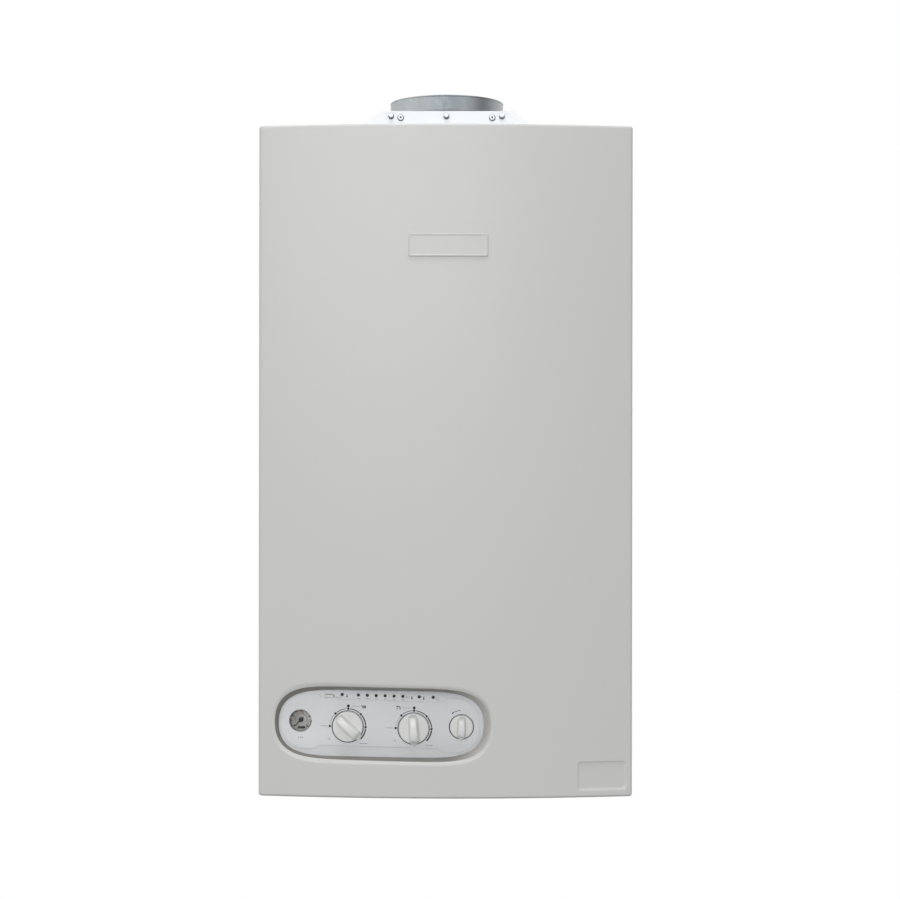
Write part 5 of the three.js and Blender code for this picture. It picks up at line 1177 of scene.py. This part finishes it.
def sign(shape, place, strokes, back=RAISED):
    """Prints strokes that are measured from a place on the panel."""
    x, z = place
    for kind, a, b, *sizes in strokes:
        if kind == "dot":
            outline = circle(x + a, z + b, *sizes)
        elif kind == "band":
            outline = band(x + a, z + b, *sizes)
        elif kind == "line":
            outline = line(x + a, z + b, x + sizes[0], z + sizes[1], sizes[2])
        else:
            outline = rounded_box(x + a, x + b, z + sizes[0], z + sizes[1], *sizes[2:])
        printed(shape, outline, back)


def dashes(shape, place, caption, height=0.8, gap=0.5, back=RAISED):
    """A row of short dashes about a centre, where the panel has a small caption."""
    u, v, lengths = caption
    start = place[0] + u - (sum(lengths) + gap * (len(lengths) - 1)) / 2
    low, high = place[1] + v - height / 2, place[1] + v + height / 2
    for length in lengths:
        printed(shape, rounded_box(start, start + length, low, high, height * DASH_ROUNDING, 2), back)
        start += length + gap


def dial_marks(dark, grey, centre, side):
    """Dots and a swelling arc round a knob, with an indicator dot and its leader on one side."""
    for angle in DIAL_DOTS:
        printed(dark, circle(*arc(*centre, DIAL_RADIUS, angle, angle, 1)[0], DIAL_DOT, DIAL_DOT_STEPS))
    for sizes in DIAL_ARCS:
        printed(dark, band(*centre, DIAL_RADIUS, *sizes))
    sign(dark, centre, INDICATOR)
    printed(grey, band(*centre, DIAL_RADIUS, *PALE_ARC))
    near, near_z, far, far_z, width = LEADER
    sign(grey, centre, [("line", side * near, near_z, side * far, far_z, width)])
    for caption in KNOB_CAPTIONS:
        dashes(grey, centre, caption)


def panel_marks():
    dark, grey = Shape(), Shape()
    heating, water, mode = [(x, z) for x, z, rest, form in KNOBS.values()]
    dial_marks(dark, grey, heating, 1)
    dial_marks(dark, grey, water, -1)
    inks, knobs = (dark, dark, grey, grey), (heating, water, heating, water)
    for shape, strokes, (x, z), (u, v) in zip(inks, SIGNS, knobs, SIGN_PLACES):
        sign(shape, (x + u, z + v), strokes)
    arrow, sizes = MODE_ARC
    printed(dark, band(*mode, *sizes))
    printed(dark, [(mode[0] + u, mode[1] + v) for u, v in arrow])
    dashes(grey, GAUGE, GAUGE_CAPTION, 1.0)
    lamps = [(x, LAMP_Z) for x in LAMP_PLACES]
    for lamp_place in lamps[MIDDLE_LAMPS]:
        dashes(grey, lamp_place, LAMP_CAPTION, *LAMP_DASH, PANEL_FRONT)
    dashes(grey, lamps[0], FIRST_LAMP_CAPTION, *FIRST_LAMP_DASH, PANEL_FRONT)
    for shape, strokes, places in ((dark, THERMOMETER, THERMOMETERS), (grey, RAYS, RAYS_PLACES)):
        for number, away in places:
            sign(shape, (LAMP_PLACES[number] + away, LAMP_Z), strokes, PANEL_FRONT)
    sign(grey, lamps[-1], CLOCK, PANEL_FRONT)
    sign(dark, BUTTON[:2], RESET, PANEL_FRONT)
    piece("panel_marks_dark", dark, "dark_print", "control_panel", sharp=30)
    piece("panel_marks_grey", grey, "grey_print", "control_panel", sharp=30)


# Gauge


DIAL = 308.7  # distance of the dial from the wall
DIAL_PRINT = DIAL + 0.42
NEEDLE_REST = math.radians(135)
HUB_STEPS = 40
# Radius and distance from the dial
CUP_PROFILE = (
    (0.0, -11.7), (14.2, -11.7), (14.8, -11.1), (14.8, 7.5), (14.3, 8.0), (13.3, 8.0), (13.0, 7.7),
    (13.0, 0.5), (12.5, 0.0), (0.0, 0.0),
)
FACE_PROFILE = ((0.0, 0.02), (12.4, 0.02), (12.4, 0.3), (12.2, 0.4), (0.0, 0.4))
WINDOW_PROFILE = ((0.0, 7.0), (12.5, 7.0), (12.7, 7.2), (12.7, 7.7), (12.5, 7.95), (8.0, 7.98), (0.0, 8.0))
HUB_PROFILE = (
    (0.0, 0.5), (0.9, 0.5), (0.9, 3.1), (2.4, 3.1), (2.4, 3.9), (2.1, 4.15), (1.0, 4.2), (0.7, 3.95),
    (0.0, 3.9),
)
BLADE = ((-0.8, -3.6), (0.8, -3.6), (0.7, 2.0), (0.3, 9.8), (-0.3, 9.8), (-0.7, 2.0))
BLADE_LEVELS = ((0.0, 3.0), (0.0, 3.45), (0.1, 3.6))  # inset and distance from the dial
SCALE = (("band", 0.0, 0.0, 11.3, 0.35, 225, -45), ("band", 0.0, 0.0, 6.2, 0.3, 200, -20),
         ("box", -3.2, 4.6, -9.8, -7.4, 0.4, 4))
LIMIT = (("line", 1.6, 9.6, 1.8, 6.4, 0.9),)
TICKS, TICK_START, TICK_SWEEP, TICK_OUTER = 8, 225, 270, 11.2
LONG_TICK, SHORT_TICK = (8.4, 1.1), (9.4, 0.6)  # inner radius and width


def gauge():
    x, z = on_panel(*GAUGE)
    centre = (x, -DIAL, z)

    def round_piece(name, profile, look, *nodes):
        shape = Shape()
        turned(shape, profile, centre, "forward", GAUGE_STEPS)
        piece(name, shape, look, "control_panel", *nodes, sharp=40)

    round_piece("gauge_cup", CUP_PROFILE, "grey_plastic", "gauge_body")
    round_piece("gauge_face", FACE_PROFILE, "gauge_dial")

    marks, stop = Shape(), Shape()
    for step in range(TICKS + 1):
        angle = TICK_START - step * TICK_SWEEP / TICKS
        inner, width = SHORT_TICK if step % 2 else LONG_TICK
        ends = [arc(*GAUGE, radius, angle, angle, 1)[0] for radius in (TICK_OUTER, inner)]
        printed(marks, line(*ends[0], *ends[1], width), DIAL_PRINT)
    sign(marks, GAUGE, SCALE, DIAL_PRINT)
    sign(stop, GAUGE, LIMIT, DIAL_PRINT)
    piece("gauge_marks", marks, "dark_print", "control_panel", sharp=30)
    piece("gauge_limit_mark", stop, "red_plastic", "control_panel", sharp=30)

    needle, blade = Shape(), []
    place = turned_place((x, z), NEEDLE_REST)
    for inset, away in BLADE_LEVELS:
        blade.append([place(u, v, DIAL + away) for u, v in drawn_in(BLADE, inset)])
    needle.stack(blade)
    turned(needle, HUB_PROFILE, centre, "forward", HUB_STEPS)
    piece("gauge_needle_pressed", needle, "black_plastic", "gauge_needle", "gauge_needle", sharp=40)

    round_piece("gauge_window", WINDOW_PROFILE, "clear_lens", "gauge_lens")


# Pipe stubs


STUBS = {
    "heating_flow_stub": -130.0, "hot_water_stub": -65.0, "gas_stub": 0.0,
    "cold_water_stub": 65.0, "heating_return_stub": 130.0,
}
STUB_Y = 120.0
STUB_STEPS = 48
STUB_BOTTOM, THREAD_TOP, HEX_BOTTOM, HEX_TOP, STUB_TOP = -24.0, 2.6, 3.5, 12.5, 27.7
THREAD_RADIUS, THREAD_PITCH, THREAD_DEPTH, THREAD_ROWS = 13.0, 1.8, 1.0, 10
THREAD_LEAD, THREAD_RUNOUT, THREAD_LAST = 2.0, 1.2, 0.2
THREAD_CORE = THREAD_RADIUS - THREAD_DEPTH
STUB_BORE, STUB_HEX = 9.5, 16.0
BORE_END, BORE_TIP = STUB_BOTTOM + 14.0, STUB_BOTTOM + 16.0
# Radius and height
STUB_MOUTH = (
    (THREAD_CORE - 0.8, STUB_BOTTOM), (STUB_BORE + 0.4, STUB_BOTTOM), (STUB_BORE, STUB_BOTTOM + 0.4),
    (STUB_BORE, BORE_END),
)
STUB_TUBE = (
    (0.0, 11.5), (10.6, 11.5), (10.6, 13.9), (10.0, 14.5), (9.0, 14.9), (9.0, STUB_TOP - 0.5),
    (8.5, STUB_TOP), (0.0, STUB_TOP),
)
STUB_NECK = ((0.0, 1.6), (THREAD_CORE - 0.3, 1.6), (THREAD_CORE - 0.3, 4.0), (0.0, 4.0))
HEX_LEVELS = ((0.9, HEX_BOTTOM), (1.0, HEX_BOTTOM + 0.9), (1.0, HEX_TOP - 0.9), (0.9, HEX_TOP))


def pipe_stub(name, x):
    shape = Shape()

    def level_ring(radius, height, steps=STUB_STEPS):
        return [(x + u, -STUB_Y + v, height) for u, v in circle(0.0, 0.0, radius, steps)]

    levels = []
    height = STUB_BOTTOM
    while height < THREAD_TOP:
        row = []
        runout = (THREAD_TOP - height) / THREAD_RUNOUT + THREAD_LAST
        lead = min(1.0, (height - STUB_BOTTOM) / THREAD_LEAD, runout)
        for step, (u, v) in enumerate(circle(0.0, 0.0, 1.0, STUB_STEPS)):
            phase = (height / THREAD_PITCH - step / STUB_STEPS) % 1
            radius = THREAD_RADIUS - THREAD_DEPTH * max(abs(2 * phase - 1), 1 - lead)
            row.append((x + radius * u, -STUB_Y + radius * v, height))
        levels.append(row)
        height += THREAD_PITCH / THREAD_ROWS
    row = shape.stack(levels, first_cap=False)[0]
    for radius, height in STUB_MOUTH:
        row = shape.onward(row, level_ring(radius, height))
    shape.fan(row, (x, -STUB_Y, BORE_TIP))
    shape.stack([level_ring(STUB_HEX * scale, height, HEX_CORNERS) for scale, height in HEX_LEVELS])
    for profile in (STUB_TUBE, STUB_NECK):
        turned(shape, profile, (x, -STUB_Y, 0.0), "up", STUB_STEPS)
    piece(name + "_threaded", shape, "brass", "frame", name, sharp=35)


# Light, floor and camera


FILL_BELOW, FILL_ABOVE = 0.04, 0.72
FILL_TINT = (0.97, 0.985, 1.0, 1.0)
WHITE = (1.0, 1.0, 1.0, 1.0)
FLOOR_REACH, FLOOR_Z = 3000.0, -1500.0
FLOOR_FADE = (2.25, 3.2)  # distances from the origin, in metres, where the floor starts to fade and is white


def seen_directly(tree):
    """1 where the camera looks by itself, by way of gloss or through glass."""
    path = tree.nodes.new("ShaderNodeLightPath")
    seen = path.outputs["Is Camera Ray"]
    for name in ("Is Glossy Ray", "Is Transmission Ray"):
        seen = add(tree, "ShaderNodeMath", "Value", {0: seen, 1: path.outputs[name]}, operation="MAXIMUM")
    return seen


def whitened(tree, share, shader, white, output):
    """Blends a shader with a white one and links it to the output."""
    blend = add(tree, "ShaderNodeMixShader", "Shader", {"Fac": share, 1: shader, 2: white})
    tree.links.new(blend, tree.nodes[output].inputs["Surface"])


def floor():
    """A pale floor that turns into the white background away from the object."""
    shape = Shape()
    reach = FLOOR_REACH
    shape.faces.append(tuple(shape.ring(
        [(x, y, FLOOR_Z) for x, y in ((-reach, -reach), (reach, -reach), (reach, reach), (-reach, reach))]
    )))
    look = plastic("floor_pale", (234, 234, 234), (230, 230, 230), (0.8, 0.9), 20.0, 0.1)
    place = look.add("TexCoord", "Object", {})
    away = look.add("VectorMath", "Value", {0: place}, operation="LENGTH")
    fade = look.span(away, 0.0, 1.0, *FLOOR_FADE, "SMOOTHSTEP")
    share = look.maths("MULTIPLY", fade, seen_directly(look.tree))
    shader = look.tree.nodes["Principled BSDF"].outputs["BSDF"]
    whitened(look.tree, share, shader, look.add("Emission", "Emission", {}), "Material Output")
    made = placed("floor", shape, LOOKS["floor_pale"])


def world():
    made = bpy.data.worlds.new("studio")
    bpy.context.scene.world = made
    made.use_nodes = True
    tree = made.node_tree
    place = add(tree, "ShaderNodeTexCoord", "Generated", {})
    height = add(tree, "ShaderNodeSeparateXYZ", "Z", {"Vector": place})
    grade = add(tree, "ShaderNodeMapRange", "Result", {
        "Value": height, "From Min": -1.0, "To Min": FILL_BELOW, "To Max": FILL_ABOVE,
    })
    fill = add(tree, "ShaderNodeBackground", "Background", {"Color": FILL_TINT, "Strength": grade})
    white = add(tree, "ShaderNodeBackground", "Background", {"Color": WHITE})
    whitened(tree, seen_directly(tree), fill, white, "World Output")


LAMPS = {  # place, target and size in metres, and power in watts
    "key": ((-0.5, -3.4, 0.6), (0.0, -0.2, -0.3), (2.0, 1.4), 34.5),
    "top": ((-0.2, -1.0, 2.2), (0.0, -0.3, -0.1), (1.0, 0.6), 22.0),
}


def lamp(name, place, target, size, power):
    data = bpy.data.lights.new(name, "AREA")
    data.shape = "RECTANGLE"
    data.size, data.size_y = size
    data.energy = power
    made = bpy.data.objects.new(name, data)
    made.location = place
    aim = Vector(target) - Vector(place)
    made.rotation_euler = aim.to_track_quat("-Z", "Y").to_euler()
    bpy.context.scene.collection.objects.link(made)


CAMERA_PLACE = (0.0128, -2.455, -0.3042)
CAMERA_TURN = (90.0, -0.07, 0.217)  # degrees
SENSOR, FOCAL_LENGTH, CAMERA_REACH = 36.0, 79.68, 50.0


def camera():
    data = bpy.data.cameras.new("camera")
    data.sensor_width = SENSOR
    data.lens = FOCAL_LENGTH
    data.clip_end = CAMERA_REACH
    made = bpy.data.objects.new("camera", data)
    made.location = CAMERA_PLACE
    made.rotation_euler = [math.radians(angle) for angle in CAMERA_TURN]
    bpy.context.scene.collection.objects.link(made)
    bpy.context.scene.camera = made


# CAD nodes that stay


SMOOTH_UP_TO = math.radians(32.0)
MERGE_REACH = 1e-6


def smooth_group():
    """Joins the corners of a CAD mesh and shades it smooth up to an angle."""
    group = bpy.data.node_groups.new("smooth_by_angle", "GeometryNodeTree")
    for way in ("INPUT", "OUTPUT"):
        group.interface.new_socket("Geometry", in_out=way, socket_type="NodeSocketGeometry")
    mesh = add(group, "NodeGroupInput", 0, {})
    mesh = add(group, "GeometryNodeRemoveAttribute", 0, {"Geometry": mesh, "Name": "custom_normal"})
    mesh = add(group, "GeometryNodeMergeByDistance", 0, {"Geometry": mesh, "Distance": MERGE_REACH})
    angle = add(group, "GeometryNodeInputMeshEdgeAngle", "Unsigned Angle", {})
    above = add(group, "FunctionNodeCompare", "Result", {0: angle, 1: SMOOTH_UP_TO})
    mesh = add(
        group, "GeometryNodeStoreNamedAttribute", "Geometry",
        {"Geometry": mesh, "Name": "sharp_edge", "Value": above}, data_type="BOOLEAN", domain="EDGE",
    )
    mesh = add(group, "GeometryNodeSetShadeSmooth", 0, {"Geometry": mesh})
    group.links.new(mesh, group.nodes.new("NodeGroupOutput").inputs[0])
    return group


def dress_cad_nodes():
    group = smooth_group()
    for row in frame["record"]["subparts"]:
        made = frame["nodes"][row["node"]]
        if made.hide_render:
            continue
        made.modifiers.new("smooth", "NODES").node_group = group
        made.data.materials.clear()
        made.data.materials.append(LOOKS[row["material_slot"]])


front_cover()
opening_shade_strip()
name_plate()
flue_collar()
hood_plate()
for screw, (across, drop, hexagonal) in SCREWS.items():
    hood_screw(screw, across, drop, hexagonal)
control_fascia()
for knob_name in KNOBS:
    knob(knob_name)
    knob_shade_ring(knob_name)
reset_button()
status_lights()
panel_marks()
gauge()
for stub_name, across in STUBS.items():
    pipe_stub(stub_name, across)
dress_cad_nodes()
floor()
world()
for lamp_name, settings in LAMPS.items():
    lamp(lamp_name, *settings)
camera()

bpy.context.scene.view_settings.view_transform = "Standard"
